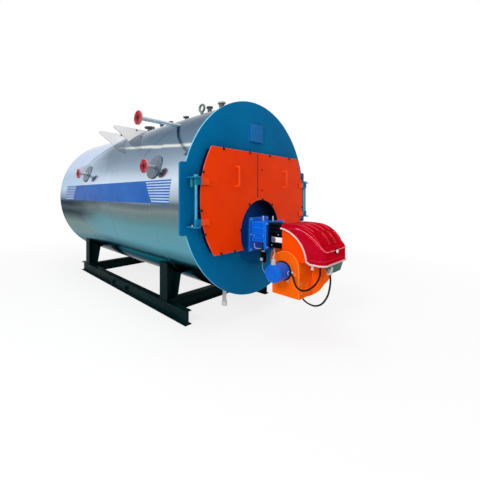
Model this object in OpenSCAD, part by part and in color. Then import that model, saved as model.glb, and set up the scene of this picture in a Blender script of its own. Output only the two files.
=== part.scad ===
// Horizontal fire-tube steam boiler on a skid, with a pair of smokebox doors and a gas burner.
// Millimetres, +Z up. The drum lies along Y with its burner end towards -Y, and the floor is Z = 0.
// Places along the drum are measured from the front plate's front face, then shifted to the origin.

/* [Drum] */
// Outer radius of the insulated drum
shell_r = 1082; // [1000:1:1150]
// Length from the front plate's face to the drum's rear end
body_l = 3711; // [3500:1:4200]
// Height of the drum's axis above the floor
axis_z = 1386; // [1340:1:1500]
// Thickness of the insulated wall of the drum
jacket_t = 100; // [60:5:160]
// Distance from the front to the first joint between cladding sheets
first_seam = 565; // [500:5:600]
// Length of each of the two middle cladding sheets
sheet_l = 1031; // [980:1:1080]
// Thickness of the rear end plate
rear_t = 20; // [12:1:30]

/* [Front plate and smokebox] */
// How far the front plate stands out past the drum
plate_lip = 18; // [10:1:40]
// Thickness of the front plate
plate_t = 20; // [12:1:30]
// How far each hinge plate reaches past the front plate's rim
ear_out = 22; // [10:1:60]
// Height of each hinge plate
ear_h = 682; // [600:2:740]
// Corner radius of the hinge plates
ear_corner = 25; // [10:1:60]
// How far the smokebox rim stands out from the front plate
rim_out = 60; // [40:1:90]
// Thickness of the smokebox walls
smokebox_t = 12; // [8:1:20]
// Depth of the smokebox behind the front plate
smokebox_depth = 380; // [300:10:500]
// How far the rim lies inside the edge of the doors
rim_inset = 20; // [14:1:24]
// Thickness of the tube sheet
tube_sheet_t = 20; // [16:1:30]
// Outer diameter of the fire tubes
tube_d = 51; // [38:1:63]
// Distance between the fire tubes
tube_pitch = 105; // [95:5:140]

/* [Doors] */
// Distance from the front plate's rim to the round outer edge of the doors
door_edge = 160; // [150:1:190]
// Height of the doors' top edge above the drum's axis
door_top = 507; // [460:1:540]
// Depth of the doors' bottom edge below the drum's axis
door_bottom = 558; // [540:1:600]
// Thickness of the door plates
door_t = 10; // [6:1:16]
// Thickness of the insulation behind the doors
door_lining = 40; // [20:1:50]
// Gap between the doors and what they close on
door_gap = 5; // [5:0.5:10]
// How far left of the middle the two doors meet
seam_left = 75; // [40:1:110]
// Radius of the arch cut out of the doors round the burner
arch_r = 363; // [350:1:380]
// Depth of the burner's axis below the drum's axis
burner_drop = 385; // [370:1:400]

/* [Door hinges and handles] */
// Distance from the doors' round edge to the hinge pins
pin_out = 60; // [54:1:70]
// Diameter of the hinge pins
pin_d = 25; // [20:1:30]
// Height of the top of the upper hinge strap above the drum's axis
strap_top = 189; // [160:1:220]
// Depth of the bottom of the lower hinge strap below the drum's axis
strap_bottom = 252; // [220:1:280]
// Height of the hinge straps
strap_h = 62; // [50:1:70]
// Thickness of the hinge straps
strap_t = 12; // [8:1:16]
// Length of the hinge straps, from the pins inwards
strap_l = 165; // [140:1:200]
// Wall of the knuckles round the pins
knuckle_wall = 7; // [5:1:12]
// Thickness of the lug plates that carry the pins
lug_t = 12; // [10:1:20]
// Width of the lug plates
lug_w = 90; // [70:1:100]
// Distance of each handle from the middle
handle_x = 450; // [400:1:500]
// Height of the handles' middle above the drum's axis
handle_z = 225; // [180:1:260]
// Length of the handles
handle_l = 220; // [160:1:260]
// Diameter of the handle bars
handle_d = 18; // [14:1:22]
// Distance of the handle bars from the doors
handle_out = 55; // [45:1:80]

/* [Skid] */
// Length of the skid rails
rail_l = 3111; // [2900:1:3400]
// Distance from the front plate to the front of the rails
rail_front = 354; // [300:1:500]
// Height of the rails
rail_h = 158; // [140:1:200]
// Width of the rails' flanges
rail_w = 88; // [70:1:110]
// Thickness of the rails' webs and flanges
rail_t = 10; // [8:1:14]
// Distance from the middle to the rails' outer edge
rail_out = 773; // [740:1:800]
// Distance from the front plate to the middle of the front legs
leg_front = 790; // [760:1:900]
// Distance between the front and rear legs
leg_pitch = 2420; // [2200:1:2550]
// Width of the legs along the drum
leg_w = 150; // [120:1:200]
// Distance from the middle to the legs' outer face
leg_out = 759; // [720:1:760]
// Distance from the middle to the inner foot of the legs
leg_in = 600; // [560:1:640]
// Distance from the middle to the inner top of the legs
leg_in_top = 475; // [450:1:520]
// Thickness of the legs' plates
leg_t = 12; // [10:1:20]

/* [Nozzles] */
// Distance from the front plate to the level gauge nozzles
gauge_y = 561; // [520:1:600]
// Height of the upper gauge nozzles above the drum's axis
gauge_upper = 826; // [780:1:850]
// Height of the lower gauge nozzles above the drum's axis
gauge_lower = 334; // [300:1:360]
// Distance from the front plate to the rear side nozzles
side_y = 2510; // [2300:1:2700]
// Height of the rear side nozzles above the drum's axis
side_z = 363; // [330:1:400]
// How far the upper gauge flanges stand out from the drum's widest point
upper_out = 152; // [120:1:170]
// How far the lower side flanges stand out from the drum's widest point
flange_out = 84; // [70:1:110]
// Diameter of the side flanges
flange_d = 145; // [135:1:160]
// Thickness of the side flanges
flange_t = 18; // [14:1:24]
// Bolt circle of the side flanges
flange_pcd = 110; // [100:1:115]
// Diameter of the bolt holes
bolt_hole_d = 18; // [14:1:20]
// Diameter of the side pipes
side_pipe_d = 42; // [34:1:48]
// Wall of the side pipes
side_pipe_t = 4; // [3:0.5:6]
// Diameter of the round cover plates behind the side nozzles
rosette_d = 272; // [220:1:300]
// Thickness of the round cover plates
rosette_t = 3; // [2:0.5:6]
// Distance from the front plate to the main steam nozzle
steam_y = 2310; // [2200:1:2500]
// Diameter of the main steam flange
steam_d = 185; // [178:1:200]
// Bolt circle of the main steam flange
steam_pcd = 145; // [140:1:150]
// Bore of the main steam nozzle
steam_bore = 70; // [60:1:80]
// Wall of the main steam nozzle
steam_wall = 4; // [3:0.5:7]
// Height of the main steam flange above the drum's crown
steam_rise = 148; // [120:1:220]

/* [Lifting eyes, brackets and drain] */
// Distance from the front plate to the front lifting eye
eye_front = 933; // [900:1:1000]
// Distance between the lifting eyes
eye_pitch = 2040; // [1900:1:2200]
// Outer diameter of the lifting eyes
eye_d = 130; // [110:1:150]
// Thickness of the lifting eyes' round bar
eye_bar = 32; // [24:1:36]
// Height of the lifting eyes' tops above the drum's crown
eye_rise = 238; // [210:1:270]
// Distance from the front plate to the front platform bracket
bracket_y = 1705; // [1600:1:1800]
// Distance between the platform brackets
bracket_pitch = 490; // [400:1:550]
// Depth of the brackets' flat tops below the drum's crown
bracket_drop = 77; // [65:1:110]
// Distance from the drum's widest point in to the brackets' tips
bracket_in = 117; // [90:1:140]
// Thickness of the bracket plates
bracket_t = 10; // [6:1:16]
// Radius of the brackets' rounded tips
bracket_nose = 20; // [16:1:26]
// Distance of the first hole from the middle of the brackets' tips
bracket_hole_near = 50; // [40:1:80]
// Distance of the second hole from the middle of the brackets' tips
bracket_hole_far = 340; // [300:1:350]
// Diameter of the two holes in each bracket
bracket_hole_d = 16; // [10:1:18]
// Diameter of the drain pipe
drain_d = 50; // [40:1:60]
// Wall of the drain pipe
drain_t = 4; // [3:0.5:6]
// Distance from the front plate to the drain pipe
drain_y = 440; // [420:1:500]
// Distance of the drain pipe left of the middle
drain_left = 66; // [40:1:90]
// Height of the drain's mouth above the floor
drain_mouth = 22; // [15:1:60]

/* [Burner] */
// Width of the two burner flanges
burner_flange_w = 350; // [330:1:360]
// Height of the burner flange on the furnace cover
burner_flange_h = 378; // [360:1:390]
// Height of the burner flange at the burner's end
burner_end_h = 294; // [280:1:300]
// Thickness of the burner flanges
burner_flange_t = 28; // [20:1:34]
// Length of the adaptor between the burner flanges
adaptor_l = 184; // [170:1:186]
// Width of the adaptor
adaptor_w = 264; // [240:1:280]
// Height of the adaptor
adaptor_h = 213; // [200:1:220]
// Width of the control box
control_w = 92; // [80:1:100]
// Height of the control box
control_h = 255; // [240:1:260]
// Distance of the fan's axis in front of the front plate
fan_y = 488; // [486:1:490]
// Depth of the fan's axis below the drum's axis
fan_drop = 712; // [705:1:730]
// Left side of the fan's inlet box, from the middle
inlet_left = 220; // [210:1:240]
// Right side of the fan's inlet box, from the middle
inlet_right = 33; // [20:1:50]
// Radius of the inlet box's round top
inlet_r = 148; // [140:1:155]
// Depth of the inlet box's foot below the fan's axis
inlet_foot = 245; // [230:1:260]
// Radius of the fan's casing
volute_r = 268; // [255:1:269]
// Radius of the casing's rim beside the inlet box
volute_rim = 310; // [300:1:312]
// Right side of the fan's casing, from the middle
volute_right = 286; // [270:1:300]
// Diameter of the fan motor
motor_d = 174; // [165:1:178]
// Length of the fan motor
motor_l = 190; // [150:1:220]
// Left side of the hood, from the middle
hood_left = 230; // [225:1:250]
// Right side of the hood, from the middle
hood_right = 280; // [260:1:300]
// Distance of the hood's front in front of the front plate
hood_front = 905; // [895:1:930]
// Depth of the hood's top below the drum's axis
hood_top = 256; // [250:1:262]
// Depth of the hood's shoulders below its top
shoulder_drop = 28; // [22:1:32]
// Radius of the curve that the hood's shoulders follow
shoulder_curve = 356; // [345:1:365]
// Distance from the hood's front back to the middle of its shoulders' curve
shoulder_back = 340; // [330:1:350]
// Distance from the hood's front back to the middle of its crown's curve
crown_back = 305; // [295:1:315]
// Depth of the ledge on the hood's front below the drum's axis
hood_ledge = 467; // [455:1:480]
// Radius of the curve from the hood's top down to the ledge
hood_curve = 290; // [275:1:300]
// How far the hood's raised crown lies inside its sides
crown_in = 22; // [16:1:30]
// Height of the ribs on the hood's crown
rib_h = 5; // [3:1:8]
// Depth of the grooves on the hood's front slope
groove_t = 12; // [4:1:14]
// Depth of the hood's lower edge below the drum's axis
hood_foot = 606; // [600:1:620]
// Radius of the round edge along the hood's sides
hood_edge_r = 310; // [300:1:318]
// Thickness of the hood's skin
hood_t = 8; // [5:1:12]
// Depth of the tray under the hood's front
tray_h = 90; // [86:1:96]
// Distance from the front plate to the tray's front
tray_front = 884; // [878:1:890]
// Distance from the front plate to the tray's back
tray_back = 828; // [815:1:838]
// Diameter of the flexible conduits
conduit_d = 18; // [14:1:22]
// Diameter of the pressure switch
switch_d = 62; // [50:1:70]

/* [Rear end] */
// Radius of the rear inspection cover
rear_cover_r = 330; // [280:1:380]
// Thickness of the rear inspection cover
rear_cover_t = 30; // [16:1:40]
// Depth of the rear inspection cover below the drum's axis
rear_cover_drop = 250; // [200:1:300]
// Inner radius of the flue outlet
flue_r = 200; // [150:1:230]
// Length of the flue outlet behind the rear plate
flue_l = 150; // [100:1:200]
// Height of the flue outlet above the drum's axis
flue_z = 620; // [580:1:640]
// Wall of the flue outlet
flue_t = 8; // [5:1:10]
// Width of the flange round the flue outlet
flue_rim = 60; // [50:1:70]
// Diameter of the flue flange's bolt holes
flue_bolt_d = 14; // [12:1:16]

/* [Hidden] */
$fn = 96;
// Gap between curved faces that bear on each other
seat = 0.3;
// Radial clearance of a pin in its bore
running = 0.05;
// Length by which a cutter passes the face that it cuts
past = 1;
// Length by which a pipe or plate is drawn into the drum before the drum is cut away
sunk = 30;
front_r = shell_r + plate_lip;
door_r = front_r - door_edge;
inner_r = shell_r - jacket_t;
second_seam = first_seam + sheet_l;
third_seam = second_seam + sheet_l;
y_mid = (body_l + flue_l - hood_front) / 2;
door_front = rim_out + door_gap + door_t;
pin_y = door_front + strap_t / 2;
pin_x = door_r + pin_out;
knuckle_r = pin_d / 2 + knuckle_wall;
arch_z = -burner_drop;
steam_top = shell_r + steam_rise;
eye_top = shell_r + eye_rise;
bracket_top = shell_r - bracket_drop;
bracket_tip = shell_r - bracket_in;
leg_ys = [leg_front, leg_front + leg_pitch];
rail_x = rail_out - rail_w / 2;
burner_z = axis_z - burner_drop;
fan_z = axis_z - fan_drop;
// Thickness of the furnace cover, and depth of the burner flanges' middles below the burner's axis
cover_t = 20;
back_flange_drop = 25;
end_flange_drop = 15;
// Height of the adaptor's middle above the burner's axis, and depth of the control box's foot below it
adaptor_lift = 11;
control_drop = 135;
adaptor_front = cover_t + 2 * burner_flange_t + adaptor_l;
// Back of the hood, front of the control box just behind it, and back of the burner's body
hood_back = 463;
control_front = hood_back - 3;
control_l = control_front - adaptor_front;
body_back = hood_back + 1;
// Middle of the inlet box's round top
inlet_y = fan_y + 28;
inlet_z = fan_z + 48;
// Middles of the curves that the hood's shoulders and its crown follow, in Y and Z
shoulder_middle = [shoulder_back - hood_front, axis_z - hood_top - shoulder_drop - shoulder_curve];
crown_middle = [crown_back - hood_front, axis_z - hood_top - hood_curve];
// Width of the rim of the fan's casing, and how far the motor's gland stands out
volute_rim_w = 42;
gland_l = 10;
// Centre of the hood's round side edges, in Y and Z
edge_y = -430;
edge_z = axis_z - hood_foot;
tray_z = edge_z - seat - tray_h;
// End of the motor's conduit, just in front of its gland
motor_end = -fan_y - motor_d / 2 - gland_l - 0.5;
// Routes of the conduits: across, along the drum and below the drum's axis
MOTOR_ROUTE = [[-262, motor_end, -fan_drop], [-262, motor_end - 13, -fan_drop],
               [-260, -621, -739], [-256, -634, -785],
               [-252, -656, -828], [-240, -698, -852], [-190, -735, -850], [-120, -759, -822],
               [-82, -778, -777], [-64, -789, -730], [-60, -790, -680], [-60, -790, -614.8]];
SUPPLY_ROUTE = [[0, -560, -957.5], [0, -560, -985], [0, -580, -1018], [0, -617, -1042],
                [0, -659, -1055], [0, -710, -1055], [0, -760, -1031], [0, -799, -989],
                [0, -837, -914], [2, -854, -832], [10, -856, -773], [14, -852, -737],
                [14, -852, -696.8]];

// Shifts a piece from the front plate's frame to the origin under the middle of the boiler
module placed() {
    translate([0, -y_mid, 0]) children();
}

// Extrudes an outline drawn in X and Z along the drum
module along_y(from, to) {
    translate([0, to, 0]) rotate([90, 0, 0]) linear_extrude(to - from) children();
}

// Extrudes an outline drawn in Y and Z across the drum
module along_x(from, to) {
    translate([from, 0, 0]) rotate([90, 0, 90]) linear_extrude(to - from) children();
}

// The same piece on both sides of the middle
module both_sides() {
    children();
    mirror([1, 0, 0]) children();
}

module ring_2d(outer, inner) {
    difference() {
        circle(r = outer);
        circle(r = inner);
    }
}

// The drum's outer surface as a cutter, for what is seated on it
module drum_cutter(gap = seat) {
    translate([0, 0, axis_z]) along_y(-past, body_l + past) circle(r = shell_r + gap, $fn = 180);
}

module i_beam_2d(w, h, t) {
    for (z = [0, h - t]) translate([-w / 2, z]) square([w, t]);
    translate([-t / 2, 0]) square([t, h]);
}

module skid_rails() color("darkslategray") placed() {
    both_sides() translate([rail_x, 0, 0]) along_y(rail_front, rail_front + rail_l)
        i_beam_2d(rail_w, rail_h, rail_t);
}

module skid_crossbeams() color("darkslategray") placed() {
    reach = rail_x - rail_w / 2;
    for (y = leg_ys) translate([0, y, 0]) along_x(-reach, reach) i_beam_2d(rail_w, rail_h, rail_t);
}

// A pair of welded legs: outer flange, tapered web and sloping inner flange under the drum
module legs(y) {
    top = axis_z - shell_r / 2;
    both_sides() difference() {
        union() {
            along_y(y - leg_w / 2, y + leg_w / 2) {
                translate([leg_out - leg_t, rail_h]) square([leg_t, top - rail_h]);
                polygon([[leg_in, rail_h], [leg_in + leg_t, rail_h],
                         [leg_in_top + leg_t, top], [leg_in_top, top]]);
                translate([leg_in, rail_h]) square([leg_out - leg_in, leg_t]);
            }
            along_y(y - leg_t / 2, y + leg_t / 2)
                polygon([[leg_in, rail_h], [leg_out, rail_h], [leg_out, top], [leg_in_top, top]]);
        }
        drum_cutter();
    }
}

module front_legs() color("darkslategray") placed() legs(leg_ys[0]);

module rear_legs() color("darkslategray") placed() legs(leg_ys[1]);

module cladding(from, to) color("lightsteelblue") placed()
    translate([0, 0, axis_z]) along_y(from, to) ring_2d(shell_r, inner_r, $fn = 180);

module cladding_front() cladding(plate_t, first_seam);

module cladding_mid_front() cladding(first_seam, second_seam);

module cladding_mid_rear() cladding(second_seam, third_seam);

module cladding_rear() cladding(third_seam, body_l - rear_t);

// Outline of both doors together, in X and Z from the drum's axis, drawn in by an inset
module door_outline(inset) {
    difference() {
        intersection() {
            circle(r = door_r - inset, $fn = 180);
            translate([-door_r, -door_bottom + inset])
                square([2 * door_r, door_top + door_bottom - 2 * inset]);
        }
        translate([0, arch_z]) circle(r = arch_r + inset);
    }
}

module front_plate() color("steelblue") placed() translate([0, 0, axis_z]) along_y(0, plate_t) {
    reach = front_r + ear_out;
    difference() {
        union() {
            circle(r = front_r, $fn = 180);
            for (sx = [-1, 1], sz = [-1, 1])
                translate([sx * (reach - ear_corner), sz * (ear_h / 2 - ear_corner)])
                    circle(r = ear_corner);
            square([2 * reach, ear_h - 2 * ear_corner], center = true);
            square([2 * (reach - ear_corner), ear_h], center = true);
        }
        door_outline(rim_inset - seat);
    }
}

module smokebox() color("steelblue") placed() translate([0, 0, axis_z])
    along_y(-rim_out, smokebox_depth) difference() {
        door_outline(rim_inset);
        door_outline(rim_inset + smokebox_t);
    }

module tube_sheet() color("dimgray") placed() translate([0, 0, axis_z])
    along_y(smokebox_depth, smokebox_depth + tube_sheet_t) circle(r = inner_r - seat, $fn = 180);

// True where a tube fits inside the smokebox walls
function tube_fits(x, z) =
    let (room = rim_inset + smokebox_t + tube_d,
         in_arch = norm([x, z - arch_z]) < arch_r + room)
    norm([x, z]) < door_r - room && z < door_top - room && z > room - door_bottom && !in_arch;

module fire_tubes() color("rosybrown") placed() {
    wall = 4;
    row = tube_pitch * sqrt(3) / 2;
    rows = ceil(door_r / row);
    columns = ceil(door_r / tube_pitch);
    for (j = [-rows:rows], i = [-columns:columns]) {
        x = (i + abs(j % 2) / 2) * tube_pitch;
        z = j * row;
        if (tube_fits(x, z))
            translate([x, 0, axis_z + z]) along_y(smokebox_depth - tube_sheet_t / 2, smokebox_depth)
                ring_2d(tube_d / 2, tube_d / 2 - wall, $fn = 32);
    }
}

module furnace_cover() color("steelblue") placed() translate([0, 0, burner_z]) {
    cover_r = arch_r + rim_inset - door_gap;
    along_y(-cover_t, 0) circle(r = cover_r);
}

module hinge_lugs() color("steelblue") placed() {
    hole = pin_d / 2 + running;
    for (z = [strap_top + 1, -strap_bottom - 1 - lug_t])
        both_sides() translate([0, 0, axis_z + z]) difference() {
            union() {
                translate([pin_x - lug_w / 2, -pin_y, 0]) cube([lug_w, pin_y, lug_t]);
                translate([pin_x, -pin_y, 0]) cylinder(d = lug_w, h = lug_t);
            }
            translate([pin_x, -pin_y, -past]) cylinder(r = hole, h = lug_t + 2 * past);
        }
}

module hinge_pins() color("lightsteelblue") placed() both_sides()
    translate([pin_x, -pin_y, axis_z - strap_bottom - 1 - lug_t]) {
        shaft = strap_top + strap_bottom + 2 + 2 * lug_t;
        nut_d = 1.8 * pin_d;
        nut_h = 0.7 * pin_d;
        cylinder(d = pin_d, h = shaft + pin_d / 2);
        translate([0, 0, shaft]) cylinder(d = nut_d, h = nut_h, $fn = 6);
    }

// One leaf of the doors: side is -1 for the left and 1 for the right
module leaf(side) translate([0, 0, axis_z]) {
    edge = side < 0 ? -seam_left - door_gap / 2 : -seam_left + door_gap / 2;
    back = door_front - door_t;
    lining = rim_inset + smokebox_t + 2 * door_gap;
    along_y(-door_front, -back) intersection() {
        door_outline(0);
        translate([side < 0 ? edge - 2 * door_r : edge, -door_r]) square(2 * door_r);
    }
    along_y(-back, -back + door_lining) intersection() {
        door_outline(lining);
        translate([side < 0 ? edge - 2 * door_r - 2 * door_gap : edge + 2 * door_gap, -door_r])
            square(2 * door_r);
    }
}

// The pair of straps of one leaf, each with the knuckle that turns on the pin
module straps() {
    for (z = [strap_top - strap_h, -strap_bottom]) translate([0, 0, axis_z + z]) difference() {
        union() {
            translate([pin_x - strap_l, -pin_y - strap_t / 2, 0]) cube([strap_l, strap_t, strap_h]);
            translate([pin_x, -pin_y, 0]) cylinder(r = knuckle_r, h = strap_h);
        }
        translate([pin_x, -pin_y, -past]) cylinder(r = pin_d / 2 + running, h = strap_h + 2 * past);
    }
}

// A round bar bent to a D, with its feet on the door's face
module handle(x) translate([x, -door_front, axis_z + handle_z]) {
    bend = handle_d;
    half = handle_l / 2 - handle_d / 2;
    translate([0, -handle_out, -half + bend]) cylinder(d = handle_d, h = 2 * (half - bend));
    for (s = [-1, 1]) {
        translate([0, 0, s * half]) rotate([90, 0, 0]) cylinder(d = handle_d, h = handle_out - bend);
        translate([0, -handle_out + bend, s * (half - bend)]) rotate([0, -90, 0])
            rotate([0, 0, s > 0 ? -90 : 180]) rotate_extrude(angle = 90)
                translate([bend, 0]) circle(d = handle_d, $fn = 32);
    }
}

module left_door() color("orangered") placed() leaf(-1);

module left_door_hinges() color("steelblue") placed() mirror([1, 0, 0]) straps();

module left_door_handle() color("orangered") placed() handle(-handle_x);

module right_door() color("orangered") placed() leaf(1);

module right_door_hinges() color("steelblue") placed() straps();

module right_door_handle() color("orangered") placed() handle(handle_x);

// A tab on the front plate and a folded plate that stands off it, for the nameplate
module nameplate_holder() color("steelblue") placed() {
    left = -139;
    foot = 645;
    w = 244;
    h = 202;
    lift = 16;
    t = 4;
    tab = 30;
    translate([left, 0, axis_z + foot]) {
        translate([0, -t, 0]) cube([tab, t, h]);
        translate([tab - t, -lift, 0]) cube([t, lift, h]);
        translate([tab - t, -lift - t, 0]) cube([w - tab + t, t, h]);
        translate([w - t, -lift, 0]) cube([t, lift, h]);
    }
}

// The fan casing's rim as a cutter, for what passes beside it
module rim_cutter(from, to) {
    along_x(from, to) translate([-fan_y, fan_z]) circle(r = volute_rim + seat);
}

module burner_adaptor() color("royalblue") placed() difference() {
    translate([0, 0, burner_z]) {
        along_y(-cover_t - burner_flange_t, -cover_t) translate([0, -back_flange_drop])
            square([burner_flange_w, burner_flange_h], center = true);
        along_y(-adaptor_front, -adaptor_front + burner_flange_t) translate([0, -end_flange_drop])
            square([burner_flange_w, burner_end_h], center = true);
        along_y(-adaptor_front + burner_flange_t, -cover_t - burner_flange_t)
            translate([0, adaptor_lift]) square([adaptor_w, adaptor_h], center = true);
    }
    rim_cutter(inlet_right - seat, burner_flange_w);
}

module control_box() color("black") placed()
    translate([-adaptor_w / 2, -control_front, burner_z - control_drop])
        cube([control_w, control_l, control_h]);

// Outline of the inlet box in Y and Z, grown by a gap
module inlet_2d(gap = 0) {
    translate([-inlet_y, inlet_z]) circle(r = inlet_r + gap);
    translate([-inlet_y - inlet_r - gap, fan_z - inlet_foot])
        square([2 * (inlet_r + gap), inlet_foot + inlet_z - fan_z]);
}

// The quarter disc under the hood, in Y and Z
module edge_2d(r) intersection() {
    translate([edge_y, edge_z]) circle(r = r);
    translate([edge_y - r, edge_z]) square(r);
}

// The body under the hood, a rim plate that the hood closes on, and the neck to the adaptor
module burner_body() color("orangered") placed() {
    plate = 8;
    side_in = 40;
    neck_right = 130;
    neck_h = 245;
    neck_lift = 60;
    reach = hood_left + hood_right;
    difference() {
        union() {
            along_x(-hood_left + side_in, hood_right - side_in) edge_2d(hood_edge_r - plate);
            along_x(-hood_left, hood_right) difference() {
                edge_2d(hood_edge_r - seat);
                edge_2d(hood_edge_r - plate);
            }
        }
        translate([-reach, -body_back, 0]) cube([2 * reach, body_back, axis_z]);
        along_x(-hood_right, inlet_right + seat) inlet_2d(seat);
        rim_cutter(inlet_right - past, reach);
    }
    difference() {
        along_x(control_w - adaptor_w / 2, neck_right)
            translate([-body_back - past, edge_z + neck_lift])
                square([body_back + past - adaptor_front, neck_h]);
        along_x(-hood_right, inlet_right + seat) inlet_2d(seat);
        rim_cutter(inlet_right - past, reach);
    }
}

module fan_inlet() color("orangered") placed() along_x(-inlet_left, inlet_right) inlet_2d();

module fan_volute() color("orangered") placed() translate([inlet_right, -fan_y, fan_z])
    rotate([0, 90, 0]) {
        cylinder(r = volute_rim, h = volute_rim_w);
        cylinder(r = volute_r, h = volute_right - inlet_right);
    }

// The motor's smooth drum with the bevelled edge of its end cap, and the gland of its conduit
module fan_motor() color("royalblue") placed() translate([-inlet_left, -fan_y, fan_z]) {
    bevel = 16;
    gland_d = conduit_d + 8;
    rotate([0, -90, 0]) {
        cylinder(d = motor_d, h = motor_l - bevel);
        translate([0, 0, motor_l - bevel]) cylinder(d1 = motor_d, d2 = motor_d - 2 * bevel, h = bevel);
    }
    translate([inlet_left + MOTOR_ROUTE[0][0], 0, 0]) rotate([90, 0, 0])
        cylinder(d = gland_d, h = motor_d / 2 + gland_l);
}

// Side outline of the hood's shoulders in Y and Z: a curve, a straight slope and an upright front
module shoulder_2d(inset, drop) {
    slope = 46;
    steps = 12;
    r = shoulder_curve - inset;
    knee = shoulder_middle + r * [-sin(slope), cos(slope)];
    face = inset - hood_front;
    polygon(concat(
        [for (i = [0:steps]) let (a = slope * i / steps) shoulder_middle + r * [-sin(a), cos(a)]],
        [[face, knee[1] - (knee[0] - face) * tan(slope)], [face, edge_z - drop],
         [-hood_back - inset, edge_z - drop], [-hood_back - inset, shoulder_middle[1] + r]]));
}

// Side outline of the hood's crown in Y and Z, with its curve grown outwards by a height
module crown_2d(grow = 0) {
    steps = 14;
    r = hood_curve + grow;
    last = acos(1 - (hood_ledge - hood_top) / hood_curve);
    polygon(concat(
        [for (i = [0:steps]) let (a = last * i / steps) crown_middle + r * [-sin(a), cos(a)]],
        [crown_middle, [-hood_back, crown_middle[1]], [-hood_back, crown_middle[1] + r]]));
}

// An outline of the hood across its width, rounded as seen from the front and from above
module hood_block(inset, drop, top) {
    corner = 60;
    width = hood_left + hood_right;
    low = edge_z - drop;
    xs = [-hood_left + corner, hood_right - corner];
    intersection() {
        along_x(-hood_left + inset, hood_right - inset) children();
        along_y(-hood_front, -hood_back) {
            translate([-hood_left + inset, low]) square([width - 2 * inset, top - corner - low]);
            for (x = xs) translate([x, top - corner]) circle(r = corner - inset);
            translate([xs[0], low]) square([width - 2 * corner, top - inset - low]);
        }
        translate([0, 0, low]) linear_extrude(top - low) {
            for (x = xs) translate([x, -hood_front + corner]) circle(r = corner - inset);
            translate([xs[0], -hood_front + inset]) square([width - 2 * corner, hood_front]);
            translate([-hood_left + inset, -hood_front + corner])
                square([width - 2 * inset, hood_front]);
        }
    }
}

// Three shallow grooves down the hood's front slope, below the ribs of the crown
module hood_grooves() {
    first = -52;
    pitch = 128;
    w = 44;
    far = 2 * hood_curve;
    rays = [for (a = [38, 65]) crown_middle + far * [-sin(a), cos(a)]];
    for (i = [0:2]) translate([first + i * pitch, 0, 0]) along_x(0, w) intersection() {
        translate(crown_middle) ring_2d(hood_curve + 2 * rib_h, hood_curve - groove_t);
        polygon([crown_middle, rays[0], rays[1]]);
    }
}

// The hood's shell: rounded shoulders, a raised crown with long ribs, and the round opening at each side
module burner_hood() color("crimson") placed() {
    top = axis_z - hood_top;
    rib_first = -158;
    rib_pitch = 112;
    rib_w = 14;
    rib_front = hood_front - 135;
    rib_back = hood_back + 30;
    difference() {
        union() {
            hood_block(0, 0, top - shoulder_drop) shoulder_2d(0, 0);
            hood_block(crown_in, 0, top + crown_in) crown_2d();
            for (i = [0:3]) translate([rib_first + i * rib_pitch, 0, 0]) along_x(0, rib_w) intersection() {
                crown_2d(rib_h);
                translate([-rib_front, edge_z]) square([rib_front - rib_back, hood_foot]);
            }
        }
        hood_block(hood_t, past, top - shoulder_drop) shoulder_2d(hood_t, past);
        hood_grooves();
        along_x(-hood_left - past, hood_right + past) translate([edge_y, edge_z])
            circle(r = hood_edge_r);
    }
}

// The flat lid that closes the hood below, and the short hollow tray that hangs from it
module hood_tray() color("darkseagreen") placed() {
    lip = 8;
    side = 20;
    front = 15;
    back = -edge_y + hood_edge_r + 5;
    low = tray_z;
    high = edge_z - lip;
    low_w = 165;
    spread = [-100, 240];
    difference() {
        union() {
            translate([-hood_left + side, -hood_front + front, edge_z - seat - lip])
                cube([hood_left + hood_right - 2 * side, hood_front - front - back, lip]);
            along_y(-tray_front, -tray_back)
                polygon([[0, low], [low_w, low], [spread[1], high], [spread[0], high]]);
        }
        rim_cutter(inlet_right - seat, hood_right);
    }
}

// The switch hangs from the adaptor on a short pipe
module pressure_switch() color("black") placed() {
    middle = [-62, -150];
    pipe_top = burner_z + adaptor_lift - adaptor_h / 2;
    pipe_l = 118;
    pipe_d = 24;
    switch_h = 110;
    translate([middle[0], middle[1], pipe_top - pipe_l - switch_h]) {
        cylinder(d = switch_d, h = switch_h);
        translate([0, 0, switch_h]) cylinder(d = pipe_d, h = pipe_l);
    }
}

function unit(v) = v / norm(v);

// A round tube swept along a route, as one closed skin with an even ring at every point
module swept_tube(route, d, sides = 10) {
    last = len(route) - 1;
    across = [1, 0.2, 0];
    way = [for (i = [0:last]) unit(route[min(i + 1, last)] - route[max(i - 1, 0)])];
    rings = [for (i = [0:last]) let (u = unit(cross(way[i], across)), v = cross(way[i], u))
        for (a = [0:sides - 1]) route[i] + d / 2 * (u * cos(360 * a / sides) + v * sin(360 * a / sides))];
    walls = [for (i = [0:last - 1], a = [0:sides - 1], half = [0, 1])
        let (b = (a + 1) % sides, here = i * sides, next = here + sides)
        half == 0 ? [here + a, next + a, next + b] : [here + a, next + b, here + b]];
    polyhedron(rings, concat(walls, [[for (a = [0:sides - 1]) a]],
                             [[for (a = [sides - 1:-1:0]) last * sides + a]]));
}

module motor_conduit() color("black") placed() translate([0, 0, axis_z])
    swept_tube(MOTOR_ROUTE, conduit_d);

module supply_conduit() color("black") placed() translate([0, 0, axis_z])
    swept_tube(SUPPLY_ROUTE, conduit_d);

// Side nozzles: place along the drum, height above its axis, how far the flange stands out
SIDE_NOZZLES = [[gauge_y, gauge_upper, upper_out], [gauge_y, gauge_lower, flange_out],
                [side_y, side_z, flange_out]];

module side_pipes() color("lightslategray") placed() difference() {
    both_sides() for (p = SIDE_NOZZLES) translate([0, p[0], axis_z + p[1]])
        along_x(sqrt(shell_r ^ 2 - p[1] ^ 2) - sunk, shell_r + p[2] - flange_t)
            ring_2d(side_pipe_d / 2, side_pipe_d / 2 - side_pipe_t);
    drum_cutter();
}

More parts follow.
